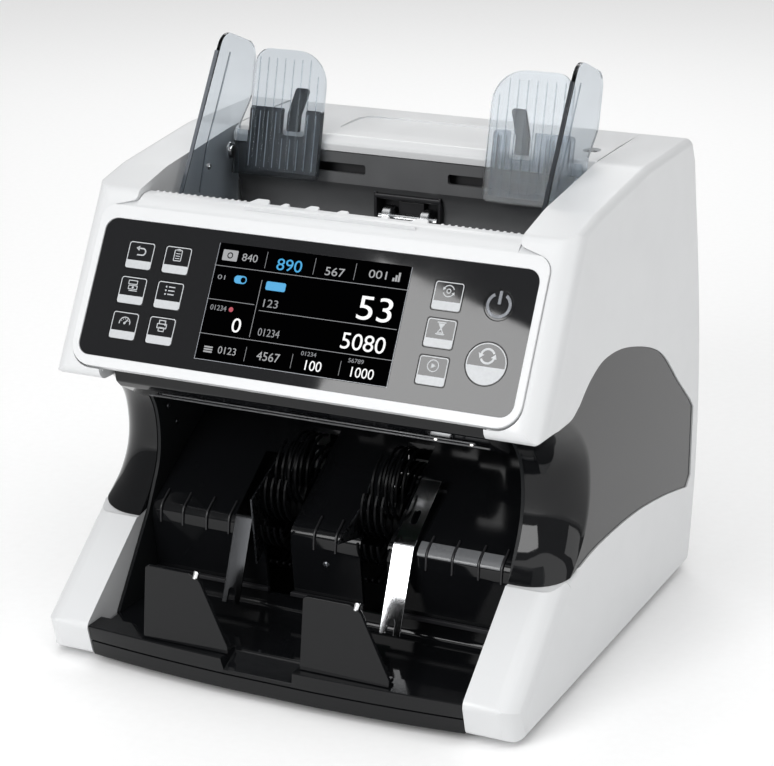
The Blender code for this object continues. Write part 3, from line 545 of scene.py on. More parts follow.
def boolean(piece, others, operation):
    for other in others:
        modifier = piece.modifiers.new(operation.lower(), "BOOLEAN")
        modifier.operation = operation
        modifier.object = other
        modifier.solver = "EXACT"
    settle(piece)
    for other in others:
        bpy.data.objects.remove(other)
    return piece


def cut(piece, *others):
    return boolean(piece, others, "DIFFERENCE")


def fuse(piece, *others):
    return boolean(piece, others, "UNION")


def merge(name, pieces, base=None):
    """Several solids as one mesh, without uniting them."""
    matrix = (MACHINE if base is None else base).copy()
    mesh = bpy.data.meshes.new(name)
    work = bmesh.new()
    for piece in pieces:
        settle(piece)
        copy = piece.data.copy()
        copy.transform(matrix.inverted() @ piece.matrix_world)
        work.from_mesh(copy)
        bpy.data.meshes.remove(copy)
        bpy.data.objects.remove(piece)
    work.to_mesh(mesh)
    work.free()
    return add(name, mesh, matrix)


def show(piece, material, body="machine", nodes=(), angle=32):
    """Finishes a piece: modifiers, shading, material, the body that it rides on and what it stands for."""
    settle(piece)
    mesh = piece.data
    mesh.transform(piece.matrix_world)
    piece.matrix_world = Matrix.Identity(4)
    mesh.materials.clear()
    mesh.materials.append(material)
    mesh.shade_smooth()
    mesh.set_sharp_from_angle(angle=math.radians(angle))
    normals = piece.modifiers.new("normals", "WEIGHTED_NORMAL")
    normals.keep_sharp = True
    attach(piece, body)
    if nodes:
        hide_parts(*nodes)
    return piece


# ---------------------------------------------------------------- casing

BACK_MOST_Y = 277.9
BACK_KNOTS = [(251.5, 249), (257, 224), (265, 190), (273.2, 145), (277.9, 90), (276.6, 45), (271, 6)]
BACK_LINE = [(min(y, BACK_MOST_Y), z) for y, z in smooth(BACK_KNOTS, 6)]
THROAT = [(57, 62.3), (68, 73), (76, 88), (78.2, 104), (74.5, 122), (63, 137), (46, 150.2)]
FIN = [(76, 157.5), (92, 167), (114, 172), (150, 167.5), (200, 150.5), (236, 122.5), (259, 104.5)]
SWOOSH = [(259, 50.8), (215, 60.2), (165, 67.2), (110, 69.2), (76, 66.2)]
HEAD_FACE = ((17.2, 151.2), (68.5, 244.6))
LEG_FACE = ((-0.5, 19), (57, 64.5))
TOE_FACE = ((5, 0), (-0.5, 19))
FRONT_EDGE_RADIUS = 13


def cover_outline():
    front = [(5, 0, 4.6), (-0.5, 19, 5), (57, 64.5), (80, 66.5), (80, 150.6), (17.2, 151.2, 7)]
    top = [(68.5, 244.6, 7), (98, 251.6, 30), (170, 260.4, 60), (244.5, 262, 7)]
    return rounded([*front, *top, *BACK_LINE, (268.5, 0, 4.6)])


def insert_outline(grow):
    throat = smooth(THROAT)
    fin = [(60, 150.2 + grow), *[(y, z + grow) for y, z in smooth(FIN)]]
    back = [(264.5 + grow, 99), (264.8 + grow, 56)]
    swoosh = [(y, z - grow) for y, z in smooth(SWOOSH)]
    return throat, [*fin, *back, *swoosh]


def edge_round(name, face, radius, sign, overrun):
    """A cutter that rounds the cover's outer edge along a straight front face, given by its (y, z) ends."""
    low, high = Vector(face[0]), Vector(face[1])
    along = (high - low).normalized()
    corner = arc((-radius, radius), radius, 0, -90, 7.5)
    outline = [(6, radius), (0, radius), *corner[1:-1], (-radius, 0), (-radius, -6), (6, -6)]
    outline = [(sign * u, v) for u, v in outline]
    up = Vector((0, along.x, along.y))
    inward = Vector((0, along.y, -along.x))
    side = Vector((1, 0, 0))
    middle = (low + high) / 2
    turn = Matrix((side, inward, up)).transposed().to_4x4()
    if turn.determinant() < 0:
        turn = Matrix((side, inward, -up)).transposed().to_4x4()
    base = MACHINE @ Matrix.Translation(Vector((sign * SIDE_OUTER_X, *middle)) * MM) @ turn
    reach = (high - low).length / 2 + overrun
    return plate(name, outline, (-reach, reach), base=base)


def bezel_outline(grow=0, low=-44):
    side = BEZEL_HALF + grow
    shoulder = COVER_GAP + grow
    half = [(side, low - grow, 13), (side, 43, 9), (shoulder, 49, 4), (shoulder, 56)]
    return rounded([*half, *[(-corner[0], *corner[1:]) for corner in reversed(half)]])


def bevel_rim(piece):
    """Rounds the cover's outer rim."""
    mesh = piece.data
    weights = mesh.attributes.new("bevel_weight_edge", "FLOAT", "EDGE")
    for edge in mesh.edges:
        ends = [mesh.vertices[number].co / MM for number in edge.vertices]
        if all(abs(end.z) > SIDE_OUTER_X - 0.2 for end in ends):
            weights.data[edge.index].value = 1
    modifier = piece.modifiers.new("rim", "BEVEL")
    modifier.width = 4.2 * MM
    modifier.segments = 6
    modifier.limit_method = "WEIGHT"


def throat_opening(side, sign):
    """The cutter for the insert's place: towards the side it also rounds the head's lower edge."""
    outline = [(8, 66), (57, 62), *insert_outline(CLEARANCE)[1][::-1], (46, 150.6), (8, 150.6)]
    across, reach = 11, 7
    head_z, fade_from, fade_over = 149, 64, 34
    turns = [math.radians(angle) for angle in (0, 12, 24, 36, 48, 60, 70, 80, 90)]
    start = SIDE_OUTER_X - across
    places = [(start + across * math.sin(turn), reach * (1 - math.cos(turn))) for turn in turns]
    stations = []
    for x, rise in ((SIDE_INNER_X - 2, 0), *places, (SIDE_OUTER_X + 2, reach)):
        station = []
        for y, z in outline:
            fade = max(0, min(1, (fade_from - y) / fade_over)) if z > head_z else 0
            station.append((sign * x, y, z + rise * fade * fade * (3 - 2 * fade)))
        stations.append(station)
    return loft(side + "_opening", stations)


def side_cover(side, sign):
    cover = section(side + "_cover_shell", cover_outline(), *mirrored(sign, SIDE_INNER_X, SIDE_OUTER_X))
    bevel_rim(cover)
    settle(cover)
    seat = plate("seat", bezel_outline(CLEARANCE), (-6.2, 8), base=HEAD)
    faces = (("head_edge", HEAD_FACE, 40), ("toe_edge", TOE_FACE, 1), ("leg_edge", LEG_FACE, 8))
    rounds = [edge_round(name, face, FRONT_EDGE_RADIUS, sign, overrun) for name, face, overrun in faces]
    if sign > 0:
        for at, radius in ((RESTART_AT, RESTART_RADIUS), (POWER_AT, POWER_RADIUS)):
            rounds.append(plate("key_well", circle(at, radius + 0.6), (-9, -6), base=HEAD))
    cut(cover, throat_opening(side, sign), seat, *rounds)
    show(cover, WHITE, "machine", [side + "_side_cover"], 30)


def side_insert(side, sign):
    """The black insert: its front sweeps back from the throat's inner edge to a crease on the side."""
    throat, inner = insert_outline(0)
    fin_top = [point for point in inner if point[0] > 75]
    rest = [point for point in fin_top if point[1] > 75 or point[0] > 84]
    across, back, last = 24, 27, 75
    swoosh_slope, fin_slope = 0.205, 0.456
    start = SIDE_OUTER_X - 0.8 - across * math.sin(math.radians(last))
    stations = []
    for angle in (None, 0, 10, 20, 30, 40, 50, 60, 68, last):
        turn = math.radians(angle or 0)
        x = SIDE_INNER_X if angle is None else start + across * math.sin(turn)
        depth = back * (1 - math.cos(turn))
        station = []
        for number, (y, z) in enumerate(throat):
            share = number / (len(throat) - 1)
            swept = depth * (0.72 + 0.28 * math.sin(min(1, share / 0.35) * math.pi / 2))
            lift = swoosh_slope * swept * (1 - share) + fin_slope * max(0, swept - 14) * share
            station.append((y + swept, z + lift))
        knee = max(60, station[-1][0] + 0.4)
        station.append((knee, 150.2 + fin_slope * (knee - 60)))
        stations.append([(sign * x, y, z) for y, z in [*station, *rest]])
    insert = loft(side + "_insert_shell", stations)
    show(insert, GLOSS, "machine", [side + "_side_insert"], 24)


# The rim's broad fingers, as (x, width, depth), and its row of fine teeth.
RIM_FINGERS = ((-43, 14, 7), (-28, 6.5, 4.5), (-12, 10, 5.5), (6, 9, 4), (30, 6.5, 4), (50, 12, 5.5))
RIM_TEETH = [-106 + 3.8 * number for number in range(56)]


def front_cover():
    """The white frame round the glass, with the rolled rim above it and the rim's fingers and teeth."""
    outlines = [bezel_outline(low=-43.2), centred(GLASS, (0, 0), 7, 0.15)]
    face = settle(bevel(plate("front_cover_shell", outlines, (-6, 0.8), base=HEAD), 1.6, 4))
    roll = arc((75.2, 229.2), 13.2, 146, 92, 9)
    top = section("rim", [*roll, (79.2, 242.4), (79.2, 235), (70, 236.6), (62, 226)], -COVER_GAP, COVER_GAP)
    trim = [(63.9, 236.2), (54, 244), (70, 262), (95, 262), (95, 242.8), (74, 242.6)]
    cut(face, section("trim", trim, -SIDE_OUTER_X - 1, SIDE_OUTER_X + 1))
    show(face, WHITE, "machine", ["front_cover"], 30)
    show(bevel(top, 0.5, 2), WHITE, angle=30)

    fingers = []
    for x, wide, deep in RIM_FINGERS:
        foot = [(-wide / 2, -2), (wide / 2, -2)]
        outline = rounded([*foot, (wide * 0.22, deep, 1.5), (-wide * 0.30, deep, 1.5)])
        finger = plate("finger", outline, (-2.4, 0), at=(x, 78, 242.6), turn=(6, 0, 0))
        fingers.append(bevel(finger, 0.9, 3))
    for x in RIM_TEETH:
        if not -52 < x < 58:
            fingers.append(bevel(box("tooth", (x, 78.6, 240.2), (x + 1.6, 80.4, 242.6)), 0.4, 2))
    show(merge("rim_fingers", fingers), WHITE)
    step = rectangle((-46, 0), (52, 0.5), 0.2)
    step = plate("rim_step", step, (0, 3.4), (24, 0, 0), (0, 68.9, 239.9))
    show(bevel(step, 0.18, 2), WHITE)


# ---------------------------------------------------------------- lip and paddles


def loft(name, stations, base=None):
    """A solid through rings of points (x, y, z), which all have as many points."""
    mesh = bpy.data.meshes.new(name)
    work = bmesh.new()
    rings = [[work.verts.new(Vector(point) * MM) for point in ring] for ring in stations]
    count = len(rings[0])
    for first, second in zip(rings, rings[1:]):
        for n in range(count):
            m = (n + 1) % count
            work.faces.new([first[n], second[n], second[m], first[m]])
    work.faces.new(rings[0])
    work.faces.new(rings[-1][::-1])
    bmesh.ops.recalc_face_normals(work, faces=work.faces)
    work.to_mesh(mesh)
    work.free()
    return add(name, mesh, MACHINE if base is None else base)


LIP_HALF = BAY_HALF + 1.9
LIP_SHARES = ((-1, 0.2), (-0.5, -3.2), (0, -4.6), (0.5, -3.2), (1, 0.2))
LIP_BOW = smooth([(LIP_HALF * share, y) for share, y in LIP_SHARES], 24)
LIP_FRONT_Y = -4.3
SCOOP = (-25.2, 16)


def bow_at(x):
    """The lip's front edge at one x."""
    for (low, start), (high, end) in zip(LIP_BOW, LIP_BOW[1:]):
        if low <= x <= high:
            return max(LIP_FRONT_Y, start + (end - start) * (x - low) / (high - low))
    return LIP_BOW[0][1]


def lip_station(x):
    """The lip's section at one x: lower bar, seam groove, then the raised strip or the sloping scoop."""
    top = bow_at(x)
    lean = 3.1 + 2.1 * (x / LIP_HALF) ** 4
    front = [(top + lean * (19 - z) / 18.8, z) for z in (0.4, 8.9)]
    groove = [(top + lean * 0.53 + 0.9, 9.2), (top + lean * 0.53 + 0.9, 9.7)]
    seam_top = top + lean * 0.48
    if SCOOP[0] < x < SCOOP[1]:
        upper = [(seam_top, 10), (seam_top - 0.1, 11.6), (seam_top + 0.5, 12.2), (9.6, 17.4), (10.6, 18.9)]
    else:
        upper = [(seam_top, 10), (top + 0.3, 17), (top, 18.4), (top + 0.45, 18.95), (10, 19)]
    return [(x, y, z) for y, z in [(13.4, 0.2), *front, *groove, *upper, (13.4, 19)]]


def front_lip():
    xs = [-LIP_HALF + LIP_HALF * 2 * n / 48 for n in range(49)]
    xs += [edge + side for edge in SCOOP for side in (-0.5, 0.5)]
    lip = loft("lip_bar", [lip_station(x) for x in sorted(xs)])
    show(lip, LIP_BLACK, "machine", ["front_lip"], 40)


def note_stop(side, left_x):
    """A paddle: a thin upright face cut away at one side, a ribbed back and a chrome pin near its top."""
    corners = [(0, 19.3, 0.3), (51, 19.3, 0.3), (51, 23, 1), (34.6, 58.2, 5), (29, 61, 2), (2.6, 61, 2.5)]
    face = rounded([(left_x + corner[0], *corner[1:]) for corner in corners], 8)
    paddle = bevel(plate(side + "_paddle_face", face, (-2.6, 0), UPRIGHT, (0, 0.6, 0)), 0.5, 3)
    foot = bevel(box("foot", (left_x + 0.7, 2.6, 19.5), (left_x + 50, 9, 21.8)), 0.5, 2)
    rib_line = [(2.6, 20), (9, 20), (9, 30), (4.2, 57), (2.6, 57)]
    ribs = [bevel(section("rib", rib_line, left_x + x - 1.2, left_x + x + 1.2), 0.4, 2) for x in (26, 8)]
    tab = rounded([(43, 21.6), (50, 21.6), (50, 25, 1), (46.5, 32, 1.5), (43, 32)])
    tab = plate("tab", tab, (-2.4, -1.4), UPRIGHT, (left_x, 1.4, 0))
    stop = merge(side + "_paddle", [paddle, foot, *ribs, tab])
    show(stop, PADDLE, "machine", [side + "_note_stop"])
    profile = [(0, 1.7), (1.2, 1.7), (1.6, 1.3), (1.6, -2.4), (0, -2.4)]
    pin = turned(side + "_paddle_pin", profile, (left_x + 32.5, 2.4, 60.6), (-12, 14, 0), 20)
    show(pin, CHROME)


# ---------------------------------------------------------------- stacker pocket

# The ledge's fine ribs by their x, the spans of the grey strips that are a painted reflection on the rolled
# ledge, and the stripper fins as (x, outline).
LEDGE_RIBS = (-102, -88, -73, -59, -6.5, 6.5, 60, 75, 90, 103)
LEDGE_REFLECTION_SPANS = ((54.6, 59.2), (60.8, 74.2), (75.8, 89.2), (90.8, 102.2))
FIN_PLATES = (
    (-38.1, [(89.7, 101.1), (54.1, 84.7), (59, 45.6), (72, 55), (88.7, 67.2)]),
    (19.9, [(84.7, 96.3), (71.2, 85), (41.3, 73.7), (66, 68.5), (88.3, 61.4)]),
)


def pocket_panel():
    """The pocket's wall with its rolled ledge, fine ribs, stripper fins, rail and screws, and grey strips
    along the ledge that are a painted reflection.
    """
    lower = [(14.2, 15.4), (71, 15.4, 4), (70.4, 28, 4), (66.3, 58, 4), (67.2, 66.4, 7)]
    line = rounded([*lower, (139.5, 109.8, 4), (141, 146), (30, 140)], 10)[:-1]
    panel = section("pocket_wall", band(line, 2.4), -BAY_HALF, BAY_HALF)
    slots = [box("slot", (x - 8.1, 50, 24), (x + 8.1, 128, 112)) for x in (-WHEEL_X, WHEEL_X)]
    cut(panel, *slots)
    show(panel, LIP_BLACK, "machine", ["pocket_panel"], 40)

    rib = rounded([(67.4, 57), (65.3, 57), (66.1, 67, 6), (76.2, 73.2), (77.2, 71.6), (70.6, 67.6)])
    ribs = [bevel(section("rib", rib, x - 0.5, x + 0.5), 0.2, 2) for x in LEDGE_RIBS]
    rail = bevel(box("rail", (-107.6, 67.4, 26.2), (107.6, 70.2, 28.6)), 0.4, 2)
    gaps = [box("gap", (x - 7, 60, 20), (x + 7, 75, 35)) for x in (-WHEEL_X, WHEEL_X)]
    cut(rail, *gaps)
    show(merge("pocket_ribs", [*ribs, rail]), SATIN)

    fins = [bevel(section("fin", outline, x - 0.55, x + 0.55), 0.25, 2) for x, outline in FIN_PLATES]
    show(merge("pocket_fins", fins), DARK_CHROME)

    # Grey facets along the rolled ledge: a painted reflection, not parts with a colour of their own.
    reflection_facet = [(66.9, 64.4), (66.1, 64.4), (66.4, 65.9), (69, 68.7), (72.4, 70.7), (72.9, 69.8)]
    bars = [bevel(section("bar", reflection_facet, low, high), 0.2, 2) for low, high in LEDGE_REFLECTION_SPANS]
    show(merge("ledge_painted_reflections", bars), LEDGE_REFLECTION)

    screws = [screw_head("pocket_screw", (0, 67.6, 48.5), (97, 0, 0), 2.2)]
    for y, z in ((87, 118), (96, 106)):
        screws.append(screw_head("wall_screw", (-107.4, y, z), (0, 90, 0), 1.8))
    show(merge("pocket_screws", screws), DARK_CHROME)


def screw_head(name, at, turn, radius):
    """A domed screw head with a cross recess."""
    high = radius * 0.42
    dome = [(0, high), (radius * 0.45, high * 0.92), (radius * 0.8, high * 0.6)]
    head = turned(name, [*dome, (radius, 0.1), (radius, -0.3), (0, -0.3)], at, turn, 32)
    base = frame_at(at, turn)
    slots = []
    for wide, long in ((radius * 0.22, radius * 1.15), (radius * 1.15, radius * 0.22)):
        slots.append(box("slot", (-wide / 2, -long / 2, high * 0.35), (wide / 2, long / 2, high * 2), base))
    return cut(head, *slots)


def stack_guide(side, sign):
    """The bright spring strip that the notes land against, with its fork at the foot."""
    line = rounded([(47.4, 25), (65, 69.6, 4), (101.4, 95, 3), (105.4, 92.6), (60, 140)], 12)[:-1]
    # The left strip takes the darkened copy of the steel as painted shade; the right strip is plain steel.
    centre, half, steel = (47.4, 6, STRIP) if sign > 0 else (-48.6, 5.2, STRIP_SHADED)
    strip = section(side + "_strip", band(line, 1.2), centre - half, centre + half)
    fork = bevel(box("fork", (centre - 2, 40, 20), (centre + 2, 60, 33)), 1.9, 4)
    cut(strip, fork)
    if sign > 0:
        base = frame_at((centre, 80, 80.4), (35, 0, 0))
        hole = plate("hole", rectangle((-1.8, -4.5), (1.8, 4.5), 1.7), (-9, 9), base=base)
        cut(strip, hole)
    show(bevel(strip, 0.3, 2), steel, "machine", [side + "_stack_guide"], 30)


def wheel_finger(base_angle, hub=14, sweep=58, steps=12):
    """The outline of one curved finger, which thins towards its tip."""
    sides = ([], [])

    def middle(t):
        reach = hub + (WHEEL_RADIUS - hub) * math.sin(t * math.pi / 2)
        angle = base_angle - math.radians(sweep) * t
        return Vector((reach * math.cos(angle), reach * math.sin(angle)))

    for step in range(steps + 1):
        t = step / steps
        ahead = (middle(t + 0.01) - middle(t - 0.01)).normalized()
        normal = Vector((-ahead.y, ahead.x))
        for side, sign in zip(sides, (-1, 1)):
            side.append(tuple(middle(t) + sign * (1.2 - 0.5 * t) * normal))
    return [*sides[0], *reversed(sides[1])]


def stacker_wheel(side, sign):
    """Nine curved fingers on each of four thin discs round one hub."""
    outline = [point for finger in range(9) for point in wheel_finger(2 * math.pi * finger / 9)]
    bore = circle((0, 0), SHAFT_RADIUS + 0.05, 32)
    at = (sign * WHEEL_X, *STACKER_AXIS)
    spans = [(middle - 0.6, middle + 0.6) for middle in (-5.9, -2, 2, 5.9)]
    discs = [bevel(plate("disc", [outline, bore], span, ACROSS, at), 0.2, 1) for span in spans]
    hub = plate("hub", [circle((0, 0), 13, 48), bore], (-5.9, 5.9), ACROSS, at)
    wheel = merge(side + "_finger_wheel", [*discs, hub], frame_at(at))
    show(wheel, WHEEL_BLACK, "stacker", [side + "_stacker_wheel"])


def shaft_tip(sign):
    """One chamfered end of a shaft's profile."""
    tip = [(0, SHAFT_END), (SHAFT_RADIUS - 0.6, SHAFT_END), (SHAFT_RADIUS, SHAFT_END - 0.6)]
    return tip if sign > 0 else [(radius, -x) for radius, x in tip[::-1]]


def stacker_shaft():
    radius, (low, high) = SHAFT_RADIUS, STACKER_BELT
    teeth = [(8, high), (8, high - 0.6), (7.4, high - 1), (7.4, low + 0.8), (8, low + 0.4), (8, low)]
    profile = [*shaft_tip(1), (radius, high), *teeth, (radius, low), *shaft_tip(-1)]
    rod = turned("stacker_rod", profile, (0, *STACKER_AXIS), steps=40)
    show(rod, BRIGHT, "stacker", ["stacker_shaft"])


def throat_bar():
    """The bar over the pocket's mouth, with two fine lines along it and two sensor lamps."""
    front = [(29, 158.2), (33.2, 156, 3), (34.6, 148.2, 3), (39, 144, 3), (62, 131.4, 1)]
    back = [(64.4, 134.6, 1), (44, 148, 2), (42, 158.2)]
    bar = section("mouth_bar", rounded([*front, *back])[::-1], -BAY_HALF, BAY_HALF)
    show(bar, GLOSS, "machine", ["throat_bar"], 40)
    lean = math.degrees(math.atan2(12.6, 23))
    face = frame_at((0, 50.5, 137.7), (-lean, 0, 0))
    slit = bevel(box("mouth_slit", (-86, -6, -0.35), (96, -5.4, 0.3), face), 0.12, 2)
    ridge = bevel(box("mouth_ridge", (-100, 5, -0.5), (100, 6.4, 0.4), face), 0.3, 2)
    show(merge("mouth_lines", [slit, ridge]), SLOT_LINE)
    lamp = [(0, -0.6), (0.5, -0.5), (0.8, -0.2), (0.8, 0.4), (0, 0.4)]
    lamps = [turned("lamp", lamp, (x, 0, 0), FLAT, 20, face) for x in (72, 92)]
    show(merge("mouth_lamps", lamps), LAMP)


def frame_plates():
    lower = [(63, 62), (69.5, 73.5), (76.6, 88)]
    throat = [*lower, (78.6, 104), (75, 122), (63.6, 137.2), (47, 150)]
    back = [(262, 4), (268, 60), (262, 130), (246, 190)]
    head = [(160, 212), (100, 226), (84, 226), (52, 172), (44, 158)]
    outline = [*back, *head, *smooth(throat)[::-1], (30, 15.8), (30, 4)]
    holes = [circle(axis, 4.3, 32) for axis in (PICKUP_AXIS, FEED_AXIS, STACKER_AXIS)]
    lightening = [rectangle((216, 60), (240, 110), 6), rectangle((120, 24), (190, 40), 6)]
    for side, sign in (("left", -1), ("right", 1)):
        outlines = [outline, *holes, *lightening]
        sheet = section(side + "_frame_sheet", outlines, *mirrored(sign, 108.2, 110))
        show(sheet, FRAME_BLACK, "machine", [side + "_frame_plate"])


# ---------------------------------------------------------------- control panel


def key_places():
    """Each key's name, its centre on the panel and its size, or its radius if it is round."""
    names = ("back", "report", "batch", "menu", "speed", "print")
    places = []
    for number, name in enumerate(names):
        places.append((name, (KEY_COLUMNS[number % 2], KEY_ROWS[number // 2]), KEY))
    for name, row in zip(("currency", "add", "mode"), KEY_ROWS):
        places.append((name, (KEY_COLUMN_RIGHT, row), KEY))
    places.append(("restart", RESTART_AT, RESTART_RADIUS))
    places.append(("power", POWER_AT, POWER_RADIUS))
    return places


def key_outline(centre, size, grow):
    if isinstance(size, tuple):
        return centred(size, centre, 1.6, grow)
    return circle(centre, size + grow, 72)


def control_glass():
    holes = [key_outline(centre, size, 0.14) for _, centre, size in key_places()]
    window = centred(SCREEN, (SCREEN_CENTRE_X, 0), 1.5, 0.03)
    glass = plate("panel_face", [centred(GLASS, (0, 0), 7), window, *holes], (-GLASS_THICK, 0), base=HEAD)
    show(bevel(glass, 0.3, 3), PANEL, "machine", ["control_panel"])


def arrow_ring(radius, width, start, end, head=1.5, centre=(0, 0)):
    """A circular arrow: an arc with a triangle at its end."""
    line = arc(centre, radius, start, end, 8)
    tip = math.radians(end)
    sign = 1 if end > start else -1
    out = Vector((math.cos(tip), math.sin(tip)))
    along = Vector((-math.sin(tip), math.cos(tip))) * sign
    middle = Vector(centre) + out * radius
    triangle = [tuple(middle + out * head), tuple(middle - out * head), tuple(middle + along * head * 1.5)]
    return [[stroke(line, width)], [triangle]]


def frame_icon(size, width, centre=(0, 0), radius=0.6):
    return [centred(size, centre, radius), centred(size, centre, max(0.1, radius - width), -width)]


def icon_back():
    hook = [(-2.4, 1.3), *arc((1, -0.5), 1.8, 90, -90), (-2, -2.3)]
    return [[stroke(hook, 0.7)], [[(-3.2, 1.3), (-1.2, 2.7), (-1.2, -0.1)]]]


def icon_report():
    lines = [[centred((2.6, 0.4), (0, y))] for y in (1, -0.3, -1.6)]
    return [frame_icon((4.8, 6.2), 0.5), [centred((2.2, 1.1), (0, 3), 0.3)], *lines]


def icon_batch():
    notes = [frame_icon((5.6, 2.4), 0.45, (x, y), 0.3) for x, y in ((-0.4, 1.8), (0, -0.9))]
    return [*notes, [circle((0, -0.9), 0.6, 20)], [centred((5, 0.45), (0.4, -2.7))]]


def icon_menu():
    rows = []
    for y in (2, 0, -2):
        rows += [[circle((-2.4, y), 0.5, 16)], [centred((3.8, 0.6), (0.9, y))]]
    return rows


def icon_speed():
    hub = (0, -1.2)
    ticks = []
    for turn in (30, 60, 90, 120, 150):
        out = Vector((math.cos(math.radians(turn)), math.sin(math.radians(turn))))
        ticks.append([stroke([tuple(Vector(hub) + out * reach) for reach in (2, 2.6)], 0.35)])
    needle = [stroke([hub, (1.5, 0.6)], 0.6)]
    return [[stroke(arc(hub, 3.2, -10, 190), 0.5)], needle, [circle(hub, 0.7, 20)], *ticks]


def icon_print():
    paper = [stroke([(-1.8, 1.4), (-1.8, 3), (1.8, 3), (1.8, 1.4)], 0.5)]
    tray = frame_icon((3.6, 2.4), 0.45, (0, -1.8), 0.1)
    return [frame_icon((6, 2.8), 0.5, (0, 0), 0.5), paper, tray, [circle((1.9, 0.6), 0.35, 12)]]


def icon_currency():
    rings = [*arrow_ring(2.9, 0.5, 20, 150, 0.9), *arrow_ring(2.9, 0.5, 200, 330, 0.9)]
    return [*rings, [circle((0, 0), 1.3, 28), circle((0, 0), 0.8, 24)]]


def icon_add():
    glass = [(-1.9, 2.5), (1.9, 2.5), (0.35, 0), (1.9, -2.5), (-1.9, -2.5), (-0.35, 0)]
    inner = [(-1.1, -2.1), (1.1, -2.1), (0, -0.6)]
    return [[glass, inner], [centred((4.8, 0.6), (0, 3), 0.2)], [centred((4.8, 0.6), (0, -3), 0.2)]]


def icon_mode():
    return [annulus(3.2, 2.7, 40), [[(-0.9, -1.3), (-0.9, 1.3), (1.5, 0)]]]


ICONS = {
    "back": icon_back,
    "report": icon_report,
    "batch": icon_batch,
    "menu": icon_menu,
    "speed": icon_speed,
    "print": icon_print,
    "currency": icon_currency,
    "add": icon_add,
    "mode": icon_mode,
}


def prints(name, shapes, span, base):
    """Printed shapes, each with its holes, as one thin raised piece."""
    return merge(name, [plate("ink", outlines, span, base=base) for outlines in shapes], base)


def square_key(name, centre):
    base = frame_at((*centre, 0), base=HEAD)
    body = "key_%s_body" % name
    cap = bevel(plate(name + "_cap", centred(KEY, (0, 0), 1.6), (-KEY_DEPTH, 0), base=base), 0.3, 3)
    show(cap, PANEL, body, ["key_" + name])
    outline = [centred(KEY, (0, 0), 1.5, -0.55), centred(KEY, (0, 0), 1.1, -1)]
    label = rectangle((-KEY[0] / 2 + 0.8, -KEY[1] / 2 + 0.8), (KEY[0] / 2 - 0.8, -2.8), 0.5)
    show(prints(name + "_outline", [outline], (-0.02, 0.05), base), LINE_INK, body)
    show(prints(name + "_label", [label], (-0.02, 0.06), base), INK, body)
    lifted = frame_at((0, 2.6, 0), base=base)
    show(prints(name + "_icon", ICONS[name](), (-0.02, 0.06), lifted), ICON_INK, body)


def restart_key():
    base = frame_at((*RESTART_AT, 0), base=HEAD)
    cap = bevel(plate("restart_cap", circle((0, 0), RESTART_RADIUS, 72), (-KEY_DEPTH, 0), base=base), 0.35, 3)
    show(cap, PANEL, "key_restart_body", ["key_restart"])
    outline = annulus(RESTART_RADIUS - 0.6, RESTART_RADIUS - 1.1, 72)
    side = math.degrees(math.asin(1.4 / (RESTART_RADIUS - 0.9)))
    bowl = arc((0, 0), RESTART_RADIUS - 0.9, 180 + side, 360 - side, 6)
    show(prints("restart_outline", [outline], (-0.02, 0.05), base), LINE_INK, "key_restart_body")
    show(prints("restart_label", [bowl], (-0.02, 0.06), base), INK, "key_restart_body")
    lifted = frame_at((0, 3.9, 0), base=base)
    arrows = [*arrow_ring(3.6, 1.1, 25, 165, 1.6), *arrow_ring(3.6, 1.1, 205, 345, 1.6)]
    show(prints("restart_icon", arrows, (-0.02, 0.07), lifted), INK, "key_restart_body")


def power_key():
    base = frame_at((*POWER_AT, 0), base=HEAD)
    cap = bevel(plate("power_cap", circle((0, 0), POWER_RADIUS, 64), (-KEY_DEPTH, 0), base=base), 0.35, 3)
    show(cap, PANEL, "key_power_body", ["key_power"])
    ring = stroke(arc((0, 0), 5.9, 120, 420, 6), 1.75)
    bar = centred((1.9, 7), (0, 3.9), 0.4)
    mark = bevel(prints("power_mark", [[ring], [bar]], (-0.1, 0.45), base), 0.2, 2)
    show(mark, DARK_CHROME, "key_power_body")


# ---------------------------------------------------------------- display


def on_screen(across, down):
    """A point of the display in the head's plane, from its share across and down the screen."""
    return SCREEN_CENTRE_X - 55.7 + 111.4 * across, 31.4 - 62.8 * down


def digits(name, text, at, high, wide):
    """Digits as thin solids, filled to a height and a width about a point."""
    curve = bpy.data.curves.new(name, "FONT")
    curve.body = text
    curve.extrude = 0.03 * MM
    drawn = bpy.data.objects.new(name + "_text", curve)
    bpy.context.scene.collection.objects.link(drawn)
    mesh = bpy.data.meshes.new_from_object(drawn.evaluated_get(bpy.context.evaluated_depsgraph_get()))
    bpy.data.objects.remove(drawn)
    mesh.materials.clear()
    work = bmesh.new()
    work.from_mesh(mesh)
    bmesh.ops.remove_doubles(work, verts=work.verts, dist=1e-6)
    bmesh.ops.recalc_face_normals(work, faces=work.faces)
    work.to_mesh(mesh)
    work.free()
    lows, highs = zip(*((min(line), max(line)) for line in zip(*(vertex.co for vertex in mesh.vertices))))
    scale = (wide / (highs[0] - lows[0]) * MM, high / (highs[1] - lows[1]) * MM, 1, 1)
    mesh.transform(Matrix.Translation((-(highs[0] + lows[0]) / 2, -(highs[1] + lows[1]) / 2, 0)))
    mesh.transform(Matrix.Diagonal(scale))
    mesh.transform(Matrix.Translation((0, 0, 0.02 * MM)))
    return add(name, mesh, frame_at((*at, 0), base=HEAD))


def screen_line(start, end, width=0.32):
    return [stroke([on_screen(*start), on_screen(*end)], width)]


def screen_box(across, down, size, radius=0.5):
    return [centred(size, on_screen(across, down), radius)]


def show_prints(name, shapes, material):
    """Shows flat shapes on the display."""
    show(prints(name, shapes, SCREEN_PRINT, HEAD), material)


